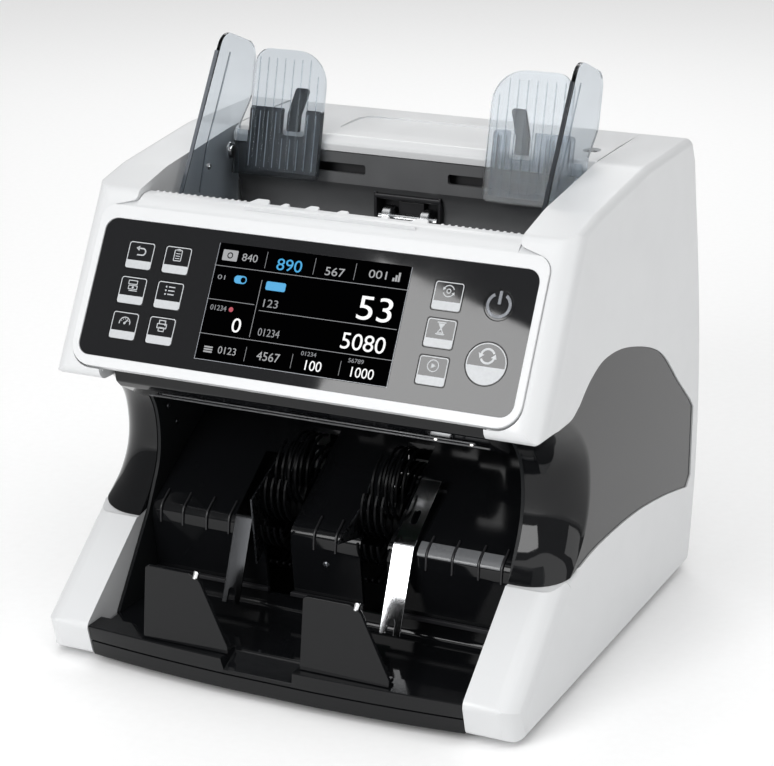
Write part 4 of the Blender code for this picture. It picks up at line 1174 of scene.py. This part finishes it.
def show_numbers(name, material, numbers):
    """Shows a group of numbers on the display, each as (text, place across and down, height, width)."""
    pieces = [digits("number", text, on_screen(*at), high, wide) for text, at, high, wide in numbers]
    show(merge(name, pieces, HEAD), material, angle=180)


# The display's groups of numbers. Where the photograph has words, plain numbers of their size stand for them.
SCREEN_NUMBERS = (
    ("display_digits", GLOW, (
        ("53", (0.858, 0.384), 12.5, 19.1),
        ("5080", (0.836, 0.67), 8.5, 24.6),
        ("0", (0.183, 0.675), 7.5, 5.2),
        ("100", (0.615, 0.915), 5.2, 9.2),
        ("1000", (0.863, 0.914), 5.2, 12.7),
    )),
    ("display_white_words", GLOW_DIM, (
        ("840", (0.175, 0.10), 4, 9),
        ("567", (0.62, 0.125), 4.4, 11),
        ("001", (0.835, 0.10), 4.2, 10),
        ("0123", (0.164, 0.896), 3.8, 10.5),
        ("4567", (0.38, 0.896), 4.6, 13.2),
    )),
    ("display_grey_words", GLOW_LABEL, (
        ("01", (0.05, 0.29), 2.4, 4.4),
        ("01234", (0.07, 0.55), 2.8, 9.4),
        ("123", (0.333, 0.457), 4.2, 8.4),
        ("01234", (0.356, 0.70), 4, 12.4),
        ("01234", (0.58, 0.823), 2.2, 8.6),
        ("56789", (0.82, 0.824), 2.2, 8.6),
    )),
)


def display():
    module = plate("display_module", centred((118, 69), (SCREEN_CENTRE_X, 0)), (-8, -3.2), base=HEAD)
    show(bevel(module, 0.4, 2), CASE, "machine", ["lcd_display"])
    face = plate("display_face", centred(SCREEN, (SCREEN_CENTRE_X, 0), 1.5), (-3, -0.05), base=HEAD)
    show(face, SCREEN_BLACK)
    # Light lines on the display's left, bottom and right edges: a painted highlight of the recess's rim.
    left, right = SCREEN_CENTRE_X - SCREEN[0] / 2 + 0.3, SCREEN_CENTRE_X + SCREEN[0] / 2 - 0.3
    low, high = -SCREEN[1] / 2 + 0.3, SCREEN[1] / 2 - 0.3
    edge = [[stroke([(left, high), (left, low), (right, low), (right, high)], 0.32)]]
    show_prints("display_edge_painted_highlight", edge, SCREEN_EDGE_HIGHLIGHT)

    lines = [screen_line((0, down), (1, down)) for down in (0.195, 0.777)]
    lines += [screen_line((0, 0.483), (0.25, 0.483)), screen_line((0.28, 0.525), (0.985, 0.525))]
    lines += [screen_line((0.2625, 0.27), (0.2625, 0.755))]
    lines += [screen_line((across, 0.03), (across, 0.17), 0.25) for across in (0.261, 0.512, 0.72)]
    lines += [screen_line((across, 0.84), (across, 0.96), 0.25) for across in (0.261, 0.502, 0.748)]
    show_prints("display_lines", lines, GLOW_GREY)

    x, v = on_screen(0.07, 0.10)
    white = [[centred((8.8, 5.8), (x, v), 0.5), circle((x, v), 1.7, 28)], [circle((x, v), 1.1, 24)]]
    white += [screen_box(0.065, down, (5, 0.8), 0.1) for down in (0.885, 0.905, 0.925)]
    show_prints("display_white", white, GLOW_DIM)

    for name, material, numbers in SCREEN_NUMBERS:
        show_numbers(name, material, numbers)

    x, v = on_screen(0.93, 0.10)
    steps = []
    for n in range(3):
        low = (x + 1.5 * n - 2.2, v - 2.4)
        steps.append([rectangle(low, (low[0] + 1.1, v - 0.6 + 1.5 * n), 0.1)])
    show_prints("display_signal", steps, GLOW_DIM)

    x, v = on_screen(0.151, 0.292)
    toggle = [centred((7.3, 4.2), (x, v), 2), circle((x + 1.6, v), 1.5, 24)]
    show_numbers("display_blue_word", GLOW_BLUE, [("890", (0.385, 0.12), 6.2, 14.5)])
    show_prints("display_blue", [toggle, screen_box(0.339, 0.31, (11.4, 4.6), 1)], GLOW_BLUE)
    show_prints("display_red", [[circle(on_screen(0.137, 0.55), 1.3, 24)]], GLOW_RED)


def control_board():
    """The key board: a lacquered board with a row of switches and chips."""
    holes = [circle((x, 27), 1.6) for x in (-102, 102)]
    board = plate("key_board", [centred((213, 62), (0, 0), 2), *holes], (-10.3, -8.7), base=HEAD)
    show(bevel(board, 0.15, 1), BOARD, "machine", ["control_board"])
    parts = []
    for _, (x, v), _ in key_places():
        if abs(x) > 103:
            x = math.copysign(100, x)
        base = frame_at((x, v, -8.7), base=HEAD)
        parts.append(bevel(box("switch", (-3, -3, 0), (3, 3, 1.2), base), 0.3, 2))
    for x in (-30, 5, 35):
        parts.append(bevel(box("chip", (x - 6, -8, -12), (x + 6, 6, -10.3), HEAD), 0.3, 2))
    show(merge("key_board_parts", parts, HEAD), CHIP)


# ---------------------------------------------------------------- hopper


def hopper_floor():
    line = [(82, 238.4), (86, 235.4, 1), (153, 205), (100, 150)]
    floor = section("hopper_bed", band(rounded(line)[:-1], 2.5), -BAY_HALF, BAY_HALF)
    slots = [box("belt_notch", (-BAY_HALF - 1, 104, 195), (-100, 160, 240))]
    for centres, low, high in ((PICKUP_ROLLERS, 99, 134), (FEED_ROLLERS, 135.6, 160)):
        slots += [box("slot", (x - 8.5, low, 195), (x + 8.5, high, 240)) for x in centres]
    show(cut(floor, *slots), GREY, "machine", ["hopper_floor"])
    ribs = []
    lean = math.degrees(math.atan2(205 - 235.4, 153 - 86))
    for number in range(33):
        x = -100 + 6.25 * number
        if all(abs(x - centre) >= 10 for centre in (*PICKUP_ROLLERS, *FEED_ROLLERS)):
            base = frame_at((x, 119.5, 220.2), (lean, 0, 0))
            ribs.append(bevel(box("rib", (-0.6, -35, -0.4), (0.6, 33, 0.6), base), 0.3, 2))
    show(merge("hopper_bed_ribs", ribs), GREY)


def back_plate():
    """The lid's back plate: two slots for the guide runners and a window with the pinch roller's box."""
    bend = [(171.4, 207), (173.6, 214), (174.4, 222), (172.6, 229), (LID_FRONT_Y, 234)]
    line = [*smooth(bend, 6), (LID_FRONT_Y, 251.6)]
    wall = section("back_sheet", band(line, 2.5), -BAY_HALF + 0.6, BAY_HALF - 0.6)
    openings = [rectangle((low, SLOT_Z[0]), (low + 75, SLOT_Z[1]), 1.5) for low in (-100, 25)]
    openings.append(rectangle((-19, 203), (19, 226.5), 1))
    cut(wall, *[plate("opening", outline, (-180, -160), UPRIGHT) for outline in openings])
    show(bevel(wall, 0.25, 2), PLATE_GREY, "lid", ["hopper_back_plate"])

    liner = bevel(box("back_liner", (-106, 177.2, 233), (106, 178.4, 252)), 0.3, 1)
    show(liner, SATIN, "lid")

    ears = [box("ear", (low, 169.8, 211), (low + 1.8, 182, 231)) for low in (-20.4, 18.6)]
    ears = [bevel(ear, 0.4, 2) for ear in ears]
    shelf = bevel(box("shelf", (-20.4, 169.6, 227.6), (20.4, 182, 230.4)), 0.8, 3)
    wall = bevel(box("wall", (-20.4, 180.6, 209), (20.4, 182.4, 230)), 0.3, 1)
    nose = bevel(box("nose", (-7.8, 175.6, 211), (7.8, 180.8, 225.6)), 0.5, 2)
    show(merge("roller_housing", [*ears, shelf, wall, nose]), SATIN, "lid")


def pinch_roller():
    ring, pin = 7.2, 3
    rings = [(ring - 0.5, 14.4), (ring, 13.9), (ring, 9.5), (ring - 0.5, 9)]
    half = [(0, 18.2), (pin - 0.4, 18.2), (pin, 17.8), (pin, 14.4), *rings, (pin, 9)]
    profile = [*half, *[(radius, -x) for radius, x in half[::-1]]]
    roller = turned("nip_roller", profile, (0, *PINCH_AXIS), steps=48)
    show(roller, ROLLER_STEEL, "pinch_roller_body", ["pinch_roller"], 35)


def top_cover():
    """The lid's white skin, with a shallow finger recess and the thickness screw's well."""
    barrel = [(y, z) for z, y in arc(LID_HINGE[::-1], 3.7, 0, 180, 10)]
    nose = [(LID_FRONT_Y, 250), (LID_FRONT_Y, 256.6, 3), (173.4, 260.3, 6), (206, 261.4)]
    skin = [(LID_FRONT_Y, 252), *rounded(nose, 8)[1:-1], (206, 261.4), *barrel]
    inside = [(238, 253.6), (236, 258.4), (206, 258.4), (174, 257.4), (171.6, 255.6), (171.6, 252)]
    top = section("lid_skin", [*skin, *inside][::-1], -109.5, 109.5)
    recess = bevel(box("recess", (-52, 186, 260.2), (52, 224, 264)), 9, 8, 60)
    well = turned("well", [(0, 10), (5.4, 10), (5.4, -10), (0, -10)], (*SCREW_AT, 262), FLAT, 40)
    recess.modifiers["bevel"].limit_method = "WEIGHT"
    weights = recess.data.attributes.new("bevel_weight_edge", "FLOAT", "EDGE")
    for edge in recess.data.edges:
        ends = [recess.data.vertices[number].co for number in edge.vertices]
        if abs(ends[0].z - ends[1].z) > 1e-4:
            weights.data[edge.index].value = 1
    cut(top, recess, well)
    show(bevel(top, 0.35, 3, 40), WHITE, "lid", ["top_cover"], 30)


def thickness_screw():
    x, y = SCREW_AT
    knob = [(0, 9.4), (3.3, 9.4), (3.6, 9.2), (4.6, 8.4), (4.6, 5.6), (4.3, 5.3), (2.5, 5)]
    screw = turned("setting_screw", [*knob, (2.5, -12), (1.4, -13), (0, -13)], (x, y, 251), FLAT, 40)
    halves = ((5, 0.6), (0.6, 5))
    slots = [box("slot", (x - dx, y - dy, 259.4), (x + dx, y + dy, 262)) for dx, dy in halves]
    show(cut(screw, *slots), CHROME, "thickness_adjuster", ["thickness_screw"])


def hopper_guide(side, sign):
    """A clear guide: a back wing with fine ribs, and a side wing that leans forward over the hopper bed."""
    wing = flipped([(50, 0, 4), (95, 0), (95, 71.5, 9), (50, 71.5, 19)], sign)
    back = plate(side + "_wing", wing, (-GUIDE_SHEET, 0), base=GUIDES)
    foot = [(99.5, 231.6, 2), (164, 213.4, 2)]
    rear = [(168, 256.5), (170.6, 263), (184, 275, 12), (190.6, 304.2, 10)]
    outline = rounded([*foot, *rear, (153.6, 317.6, 11)])
    inner, outer = GUIDE_SIDE_X - GUIDE_SHEET / 2, GUIDE_SIDE_X + GUIDE_SHEET / 2
    flank = section("flank", outline, *mirrored(sign, inner, outer))
    low, high = mirrored(sign, 90, outer)
    web = plate("web", rectangle((low, 0), (high, 25)), (-GUIDE_SHEET, 0), base=GUIDES)
    guide = bevel(fuse(back, flank, web), 0.4, 3)
    body = side + "_guide_body"
    show(guide, SMOKE, body, [side + "_guide"])

    ribs = []
    for number in range(8):
        x = sign * (54.5 + 5.3 * number)
        top = 66.5 if number else 58
        ribs.append(bevel(box("rib", (x - 0.28, 3, -0.1), (x + 0.28, top, 0.4), GUIDES), 0.15, 2))
    line = stroke([(120.5, 232.5), (129.2, 256), (139.9, 273.3), (158.6, 304.5)], 0.8)
    ribs.append(section("wing_line", line, *mirrored(sign, inner - 0.5, inner + 0.1)))
    show(merge(side + "_wing_ribs", ribs, GUIDES), SMOKE, body)

    # The clear wing's front edge as an opaque strip, wide and dark on the right, narrow and grey on the left:
    # painted shade.
    start, end = Vector((100.6, 232.8)), Vector((145.6, 307.6))
    along = (end - start).normalized()
    wide, material = (1.6, WING_EDGE_DARK_SHADE) if sign > 0 else (0.8, WING_EDGE_GREY_SHADE)
    inset = Vector((along.y, -along.x)) * wide
    edge = [tuple(point) for point in (start, start + inset, end + inset, end)]
    edge = section(side + "_wing_edge", edge, *mirrored(sign, inner + 0.2, outer - 0.2))
    show(edge, material, body)

    bosses = []
    for y, z, radius in ((157, 249, 5), (131, 245.2, 1.9)):
        boss = [(0, 1.6), (radius * 0.55, 1.6), (radius * 0.6, 1.1), (radius * 0.8, 1.3)]
        boss += [(radius, 0.9), (radius, -0.2), (0, -0.2)]
        bosses.append(turned("boss", boss, (sign * inner, y, z), (0, -90 * sign, 0), 28))
    show(merge(side + "_wing_bosses", bosses), CHROME, body)


def guide_bracket(side, sign):
    """The comb behind the guide's wing with its runner in the lid's slot, and its lever."""
    left, right = mirrored(sign, 52, 97)
    gap_left, gap_right = mirrored(sign, 61.6, 76)
    notch = [(gap_right, 39, 1), (gap_right, 24, 2), (gap_left, 24, 2), (gap_left, 39, 1)]
    comb = rounded([(left, 3, 1), (right, 3, 1), (right, 39, 2.5), *notch, (left, 39, 2.5)])
    depth = GUIDE_SHEET + 0.3
    bracket = bevel(plate("comb", comb, (-depth - 2.6, -depth), base=GUIDES), 0.3, 2)
    ribs = []
    for x in (sign * 55, sign * 82.5, sign * 86):
        rib = box("rib", (x - 0.7, 6, -depth - 4), (x + 0.7, 36, -depth - 2.5), GUIDES)
        ribs.append(bevel(rib, 0.3, 2))
    low, high = mirrored(sign, 64, 76)
    runner = bevel(box("runner", (low, 163, SLOT_Z[0] + 0.5), (high, 176, SLOT_Z[1] - 0.5)), 0.6, 2)
    low, high = mirrored(sign, 60, 80)
    keeper = bevel(box("keeper", (low, 172.2, SLOT_Z[0] - 3), (high, 176, SLOT_Z[1] + 2)), 0.6, 2)
    clip = merge(side + "_comb_clip", [bracket, *ribs, runner, keeper])
    # One comb, shown two ways: on the left dark with light lines, on the right clear with dark lines. The
    # dark comb and dark lines are painted shade, the light lines a painted highlight.
    comb_look, line_look = (BRACKET, COMB_LINE_HIGHLIGHT) if sign < 0 else (COMB_CLEAR, BRACKET)
    show(clip, comb_look, side + "_guide_body", [side + "_guide_bracket"])
    lines = []
    for offset in range(55, 96, 5):
        x, top = sign * offset, 22 if gap_left < sign * offset < gap_right else 36.5
        lines.append(box("line", (x - 0.25, 5, -depth - 0.1), (x + 0.25, top, -depth + 0.2), GUIDES))
    show(merge(side + "_comb_lines", lines, GUIDES), line_look, side + "_guide_body")

    stem = [(65, 26.4, 1), (73, 26.4, 1), (73, 36, 2), (69, 51, 2), (60.6, 51, 2), (65, 36, 2)]
    lever = flipped(stem, sign)
    base = frame_at((0, 0, -depth - 1.3), base=GUIDES)
    tongue = bevel(plate(side + "_tongue", lever, (-1.3, 1.3), base=base), 0.4, 2)
    show(tongue, BRACKET, side + "_lever_body", [side + "_guide_lever"])


# ---------------------------------------------------------------- drive and electronics


def grooved(low, high, radius):
    """A rubber roller's profile, from its high end to its low end, with fine grooves round it."""
    points = [(radius - 0.6, high), (radius, high - 0.6)]
    count = 5
    pitch = (high - low) / (count + 1)
    for number in range(count):
        x = high - pitch * (number + 1)
        points += [(radius, x + 0.5), (radius - 0.7, x + 0.3), (radius - 0.7, x - 0.3), (radius, x - 0.5)]
    return [*points, (radius, low + 0.6), (radius - 0.6, low)]


def toothed(low, high, radius):
    """A belt pulley's profile, with a shallow groove between its flanges."""
    groove = [(radius - 0.7, high - 0.8), (radius - 0.7, low + 0.8)]
    return [(radius, high), (radius, high - 0.6), *groove, (radius, low + 0.6), (radius, low)]


def roller_shaft(name, node, body, axis, centres, radius, pulley_radius):
    profile = shaft_tip(1)
    for x in centres[::-1]:
        low, high = x - 7, x + 7
        profile += [(SHAFT_RADIUS, high), *grooved(low, high, radius), (SHAFT_RADIUS, low)]
    low, high = FEED_BELT
    profile += [(SHAFT_RADIUS, high), *toothed(low, high, pulley_radius), (SHAFT_RADIUS, low), *shaft_tip(-1)]
    rod = turned(name, profile, (0, *axis), steps=48)
    show(rod, ROLLER, body, [node])


def belts():
    for name in ("feed_belt", "stacker_belt"):
        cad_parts[name].data.materials.clear()
        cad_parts[name].data.materials.append(RUBBER)


def motor():
    can = [(0, 24), (6, 24), (6, 22.6), (19, 22.6), (20.6, 21.4), (20.6, 14), (21, 13.6), (21, -16)]
    can += [(19.4, -17.4), (19.4, -22), (8, -22.6), (8, -24), (0, -24)]
    shell = turned("motor_can", can, (-64, *MOTOR_AXIS), steps=48)
    slots = [box("slot", (-50, 196, low), (-44, 204, low + 12)) for low in (98, 130)]
    show(cut(shell, *slots), CASE, "machine", ["drive_motor"])
    outline = [(0, STACKER_BELT[1] + 5), (4.6, STACKER_BELT[1] + 5), (5, STACKER_BELT[1] + 4.6)]
    for low, high in (STACKER_BELT, FEED_BELT):
        outline += [(5, high), *toothed(low, high, 8), (5, low)]
    pulley = turned("double_pulley", [*outline[:-1], (0, FEED_BELT[0])], (0, *MOTOR_AXIS), steps=40)
    show(pulley, CASE, "motor_drive", ["motor_pulley"])


def electronics():
    holes = [circle((-92, 72), 1.8), circle((92, 184), 1.8)]
    board = plate("logic_board", [rectangle((-98, 66), (98, 190), 3), *holes], (-251.6, -250), UPRIGHT)
    show(bevel(board, 0.15, 1), BOARD, "machine", ["main_board"])
    parts = [bevel(box("chip", (-20, 247.6, 120), (4, 250, 144)), 0.3, 2)]
    for x in (-70, -45, -20):
        parts.append(bevel(box("chip", (x, 248.4, 90), (x + 14, 250, 98)), 0.3, 2))
    for x in (-80, -48, -16, 20):
        parts.append(bevel(box("header", (x, 243, 172), (x + 22, 250, 178)), 0.4, 2))
    capacitor = [(0, 12), (3.6, 12), (4, 11.6), (4, 0.4), (3.4, 0), (0, 0)]
    parts += [turned("capacitor", capacitor, (x, 250, 84), UPRIGHT, 24) for x in (30, 42, 54)]
    show(merge("logic_parts", parts), CHIP)

    case = bevel(box("supply_case", (4, 176, 6), (96, 244, 50)), 1.2, 3)
    vents = [box("vent", (14 + 7 * n, 186, 48.6), (17 + 7 * n, 234, 52)) for n in range(11)]
    show(cut(case, *vents), CASE, "machine", ["power_supply"])

    bar = bevel(box("scan_bar", (-96, 178, 152), (96, 192, 168)), 1, 2)
    window = box("window", (-88, 176, 157), (88, 178.8, 163))
    show(cut(bar, window), SATIN, "machine", ["image_sensor"])


# ---------------------------------------------------------------- back, connectors and base


def rear_cover():
    line = [(249.6, 255.6), (250.4, 251), *BACK_LINE[1:-1], (269.8, 3.2)]
    rear = section("rear_skin", band(line, 2.5), -COVER_GAP, COVER_GAP)
    cuts = [box("opening", (-101.3, 255, 13.7), (-8.7, 290, 60.3))]
    for low in range(120, 149, 7):
        cuts.append(plate("vent", rectangle((20, low), (90, low + 2.6), 1.2), (-290, -250), UPRIGHT))
    cut(rear, *cuts)
    show(rear, WHITE, "machine", ["rear_cover"], 30)


def connectors():
    panel = rectangle((-101, 14), (-9, 60), 2)
    inlet = rectangle((-96, 22), (-68.6, 42.4), 2)
    switch = rectangle((-60, 22.6), (-46, 42), 0.6)
    ports = [rectangle((-38, low), (-24.6, low + 5.6), 0.4) for low in (23, 34)]
    tall = rectangle((-20, 24), (-12.6, 40), 0.6)
    outlines = [panel, inlet, switch, *ports, tall]
    sheet = plate("socket_panel", outlines, (0, 2.5), UPRIGHT, (0, SOCKET_Y, 0))
    show(bevel(sheet, 0.3, 2), SATIN, "machine", ["connector_panel"])

    shell_at = (0, SOCKET_Y - 0.4, 0)
    shell = plate("inlet_shell", rectangle((-95.7, 22.3), (-68.9, 42.1), 2), (0, 19), UPRIGHT, shell_at)
    corners = [(-93.6, 25), (-71, 25), (-71, 34.6), (-75, 39.2), (-89.6, 39.2), (-93.6, 34.6)]
    mouth = rounded([(*corner, 0.8) for corner in corners])
    cut(shell, plate("mouth", mouth, (-2, 15), UPRIGHT, shell_at))
    show(bevel(shell, 0.2, 2), CHIP, "machine", ["power_inlet"])
    pins = []
    for x, z in ((-88.3, 30), (-76.3, 30), (-82.3, 34.4)):
        pins.append(bevel(box("pin", (x - 1, 261, z - 2), (x + 1, 273, z + 2)), 0.4, 2))
    show(merge("inlet_pins", pins), BRASS)

    shells, contacts = [], []
    sockets = [((-37.9, low + 0.1), (-24.7, low + 5.5), 0.4, 0.4) for low in (23, 34)]
    sockets.append(((-19.9, 24.1), (-12.7, 39.9), 0.6, 0.5))
    for (x0, z0), (x1, z1), wall, radius in sockets:
        inside = rectangle((x0 + wall, z0 + wall), (x1 - wall, z1 - wall), radius - 0.1)
        outlines = [rectangle((x0, z0), (x1, z1), radius), inside]
        shells.append(plate("port", outlines, (0, 13), UPRIGHT, (0, SOCKET_Y - 0.3, 0)))
    show(merge("port_shells", shells), BRIGHT)
    for low in (23, 34):
        tongue = box("tongue", (-37, 262, low + 2), (-25.6, 272, low + 3.4))
        contacts.append(bevel(tongue, 0.2, 1))
    show(merge("port_contacts", contacts), CHIP)

    places = [(x, SOCKET_Y, z) for z in (17, 57) for x in (-98.2, -12)]
    heads = [screw_head("panel_screw", place, (-90, 0, 0), 2.4) for place in places]
    show(merge("panel_screws", heads), CHROME)


def power_switch():
    half, height, rise = 6.6, 8.9, math.radians(9)
    front = [(0.4 + 1.2 * (z / height) ** 2, z) for z in (-6, -3, 0, 3, 6)]
    rocker = [(-1, -height), (1.6, -height), *front, (1.6, height), (-1, height), (-8, 3), (-8, -3)]
    tilted = [tuple(Matrix.Rotation(rise, 2) @ Vector(point)) for point in rocker]
    key = bevel(plate("rocker", tilted, (-half, half), ACROSS, SWITCH_AT), 0.4, 2, 30)
    show(key, CHIP, "mains_switch", ["power_switch"])
    face = frame_at(SWITCH_AT, (-9, 0, 0))
    bar = plate("on_mark", rectangle((-0.35, 4), (0.35, 6.8)), (-1.35, -1.05), UPRIGHT, base=face)
    ring = plate("off_mark", annulus(1.5, 1, 28, (0, -5.2)), (-1.2, -0.9), UPRIGHT, base=face)
    show(merge("rocker_marks", [bar, ring]), WHITE_PRINT, "mains_switch")


def base_pan():
    pan = rounded([(14, 0.2), (268, 0.2), (268, 2.8), (18, 2.8), (18, 12), (14, 12)])
    tray = section("floor_tray", pan, -COVER_GAP, COVER_GAP)
    places = [(x, y) for x in range(30, 94, 9) for y in range(196, 233, 12)]
    slots = [plate("slot", rectangle((x, y), (x + 3, y + 9), 1.4), (-1, 5)) for x, y in places]
    show(bevel(cut(tray, *slots), 0.2, 1), SATIN, "machine", ["base_pan"])


def feet():
    profile = [(0, -0.3), (8.6, -0.3), (9, -0.6), (9, -2.6), (8.6, -3.4), (7.6, -4), (6, -4)]
    profile += [(5.6, -3.4), (3, -3.4), (2.6, -2.4), (0, -2.4)]
    for end, y in (("front", 34), ("rear", 244)):
        for side, x in (("left", -120), ("right", 120)):
            foot = turned("pad_%s_%s" % (end, side), profile, (x, y, 0), FLAT, 40)
            show(foot, RUBBER, "machine", ["foot_%s_%s" % (end, side)])


# ---------------------------------------------------------------- light, floor and camera

CAMERA_AT = (0.5235, -1.09115, 0.5391)
CAMERA_LOOK = (-0.40809, 0.85637, -0.31638)
CAMERA_LENS = 106.98


def camera():
    data = bpy.data.cameras.new("camera")
    data.lens = CAMERA_LENS
    data.sensor_width = 36
    data.sensor_fit = "HORIZONTAL"
    data.clip_start = 0.01
    eye = bpy.data.objects.new("camera", data)
    bpy.context.scene.collection.objects.link(eye)
    eye.location = CAMERA_AT
    eye.rotation_euler = Vector(CAMERA_LOOK).to_track_quat("-Z", "Y").to_euler()
    bpy.context.scene.camera = eye


def area_light(name, size, power):
    data = bpy.data.lights.new(name, "AREA")
    data.shape = "RECTANGLE"
    data.size, data.size_y = size
    data.energy = power
    lamp = bpy.data.objects.new(name, data)
    bpy.context.scene.collection.objects.link(lamp)
    return lamp


def softbox(name, at, target, size, power):
    lamp = area_light(name, size, power)
    lamp.location = at
    lamp.rotation_euler = (Vector(target) - Vector(at)).to_track_quat("-Z", "Y").to_euler()


def key_light(panel, towards, size, corner, away, radiance):
    """A softbox whose reflection in the panel starts at a corner, across and up from the panel's ray."""
    across = Vector((0, 0, 1)).cross(towards).normalized()
    up = towards.cross(across)
    middle = (corner[0] + size[0] / 2, corner[1] - size[1] / 2)
    at = panel + towards * away + across * middle[0] + up * middle[1]
    lamp = area_light("key", size, radiance * math.pi * size[0] * size[1])
    lamp.matrix_world = Matrix.Translation(at) @ Matrix((across, up, towards)).transposed().to_4x4()


def studio():
    towards_key = Vector((-0.38, -0.72, 0.58)).normalized()
    key_light(HEAD.to_translation(), towards_key, (0.80, 0.82), (-0.05, 0.074), 1.5, 7.4)
    softbox("right_fill", (1.6, -0.1, 0.55), (0.1, 0.05, 0.12), (0.9, 0.8), 4.5)
    softbox("back_fill", (-0.6, 1.4, 1.3), (0, 0.1, 0.1), (0.9, 0.8), 6)
    sky = bpy.data.lights.new("sky", "SUN")
    sky.energy = 1.48
    sky.angle = math.radians(70)
    lamp = bpy.data.objects.new("sky", sky)
    bpy.context.scene.collection.objects.link(lamp)
    lamp.rotation_euler = (math.radians(12), math.radians(8), 0)
    world = bpy.data.worlds.new("studio")
    bpy.context.scene.world = world
    world.use_nodes = True
    shade = world.node_tree.nodes["Background"]
    shade.inputs["Color"].default_value = (1, 1, 1, 1)
    shade.inputs["Strength"].default_value = 0.30
    bpy.context.scene.view_settings.view_transform = "Standard"


def floor():
    nodes = Nodes("floor_paper")
    fibre = nodes.noise(180, 4)
    paper = nodes.between(nodes.spread(fibre, 0, 1), (0.95, 0.95, 0.95), (0.97, 0.97, 0.97))
    nodes.set(Base_Color=paper, Roughness=0.7)
    mesh = bpy.data.meshes.new("floor")
    work = bmesh.new()
    bmesh.ops.create_grid(work, x_segments=1, y_segments=1, size=12)
    work.to_mesh(mesh)
    work.free()
    mesh.materials.append(nodes.material)
    ground = bpy.data.objects.new("floor", mesh)
    bpy.context.scene.collection.objects.link(ground)


# ---------------------------------------------------------------- the machine

for side, sign in (("left", -1), ("right", 1)):
    side_cover(side, sign)
    side_insert(side, sign)
    stack_guide(side, sign)
    stacker_wheel(side, sign)
    hopper_guide(side, sign)
    guide_bracket(side, sign)
front_cover()
control_glass()
display()
for key_name, key_centre, key_size in key_places():
    if key_size is KEY:
        square_key(key_name, key_centre)
restart_key()
power_key()
control_board()
front_lip()
note_stop("left", -75.2)
note_stop("right", 18.4)
pocket_panel()
throat_bar()
frame_plates()
hopper_floor()
back_plate()
pinch_roller()
top_cover()
thickness_screw()
stacker_shaft()
roller_shaft("pickup_rod", "pickup_shaft", "pickup_rollers", PICKUP_AXIS, PICKUP_ROLLERS, 15, 7.5)
roller_shaft("feed_rod", "feed_shaft", "feed_rollers", FEED_AXIS, FEED_ROLLERS, 18, 11)
belts()
motor()
electronics()
rear_cover()
connectors()
power_switch()
base_pan()
feet()
floor()
studio()
camera()
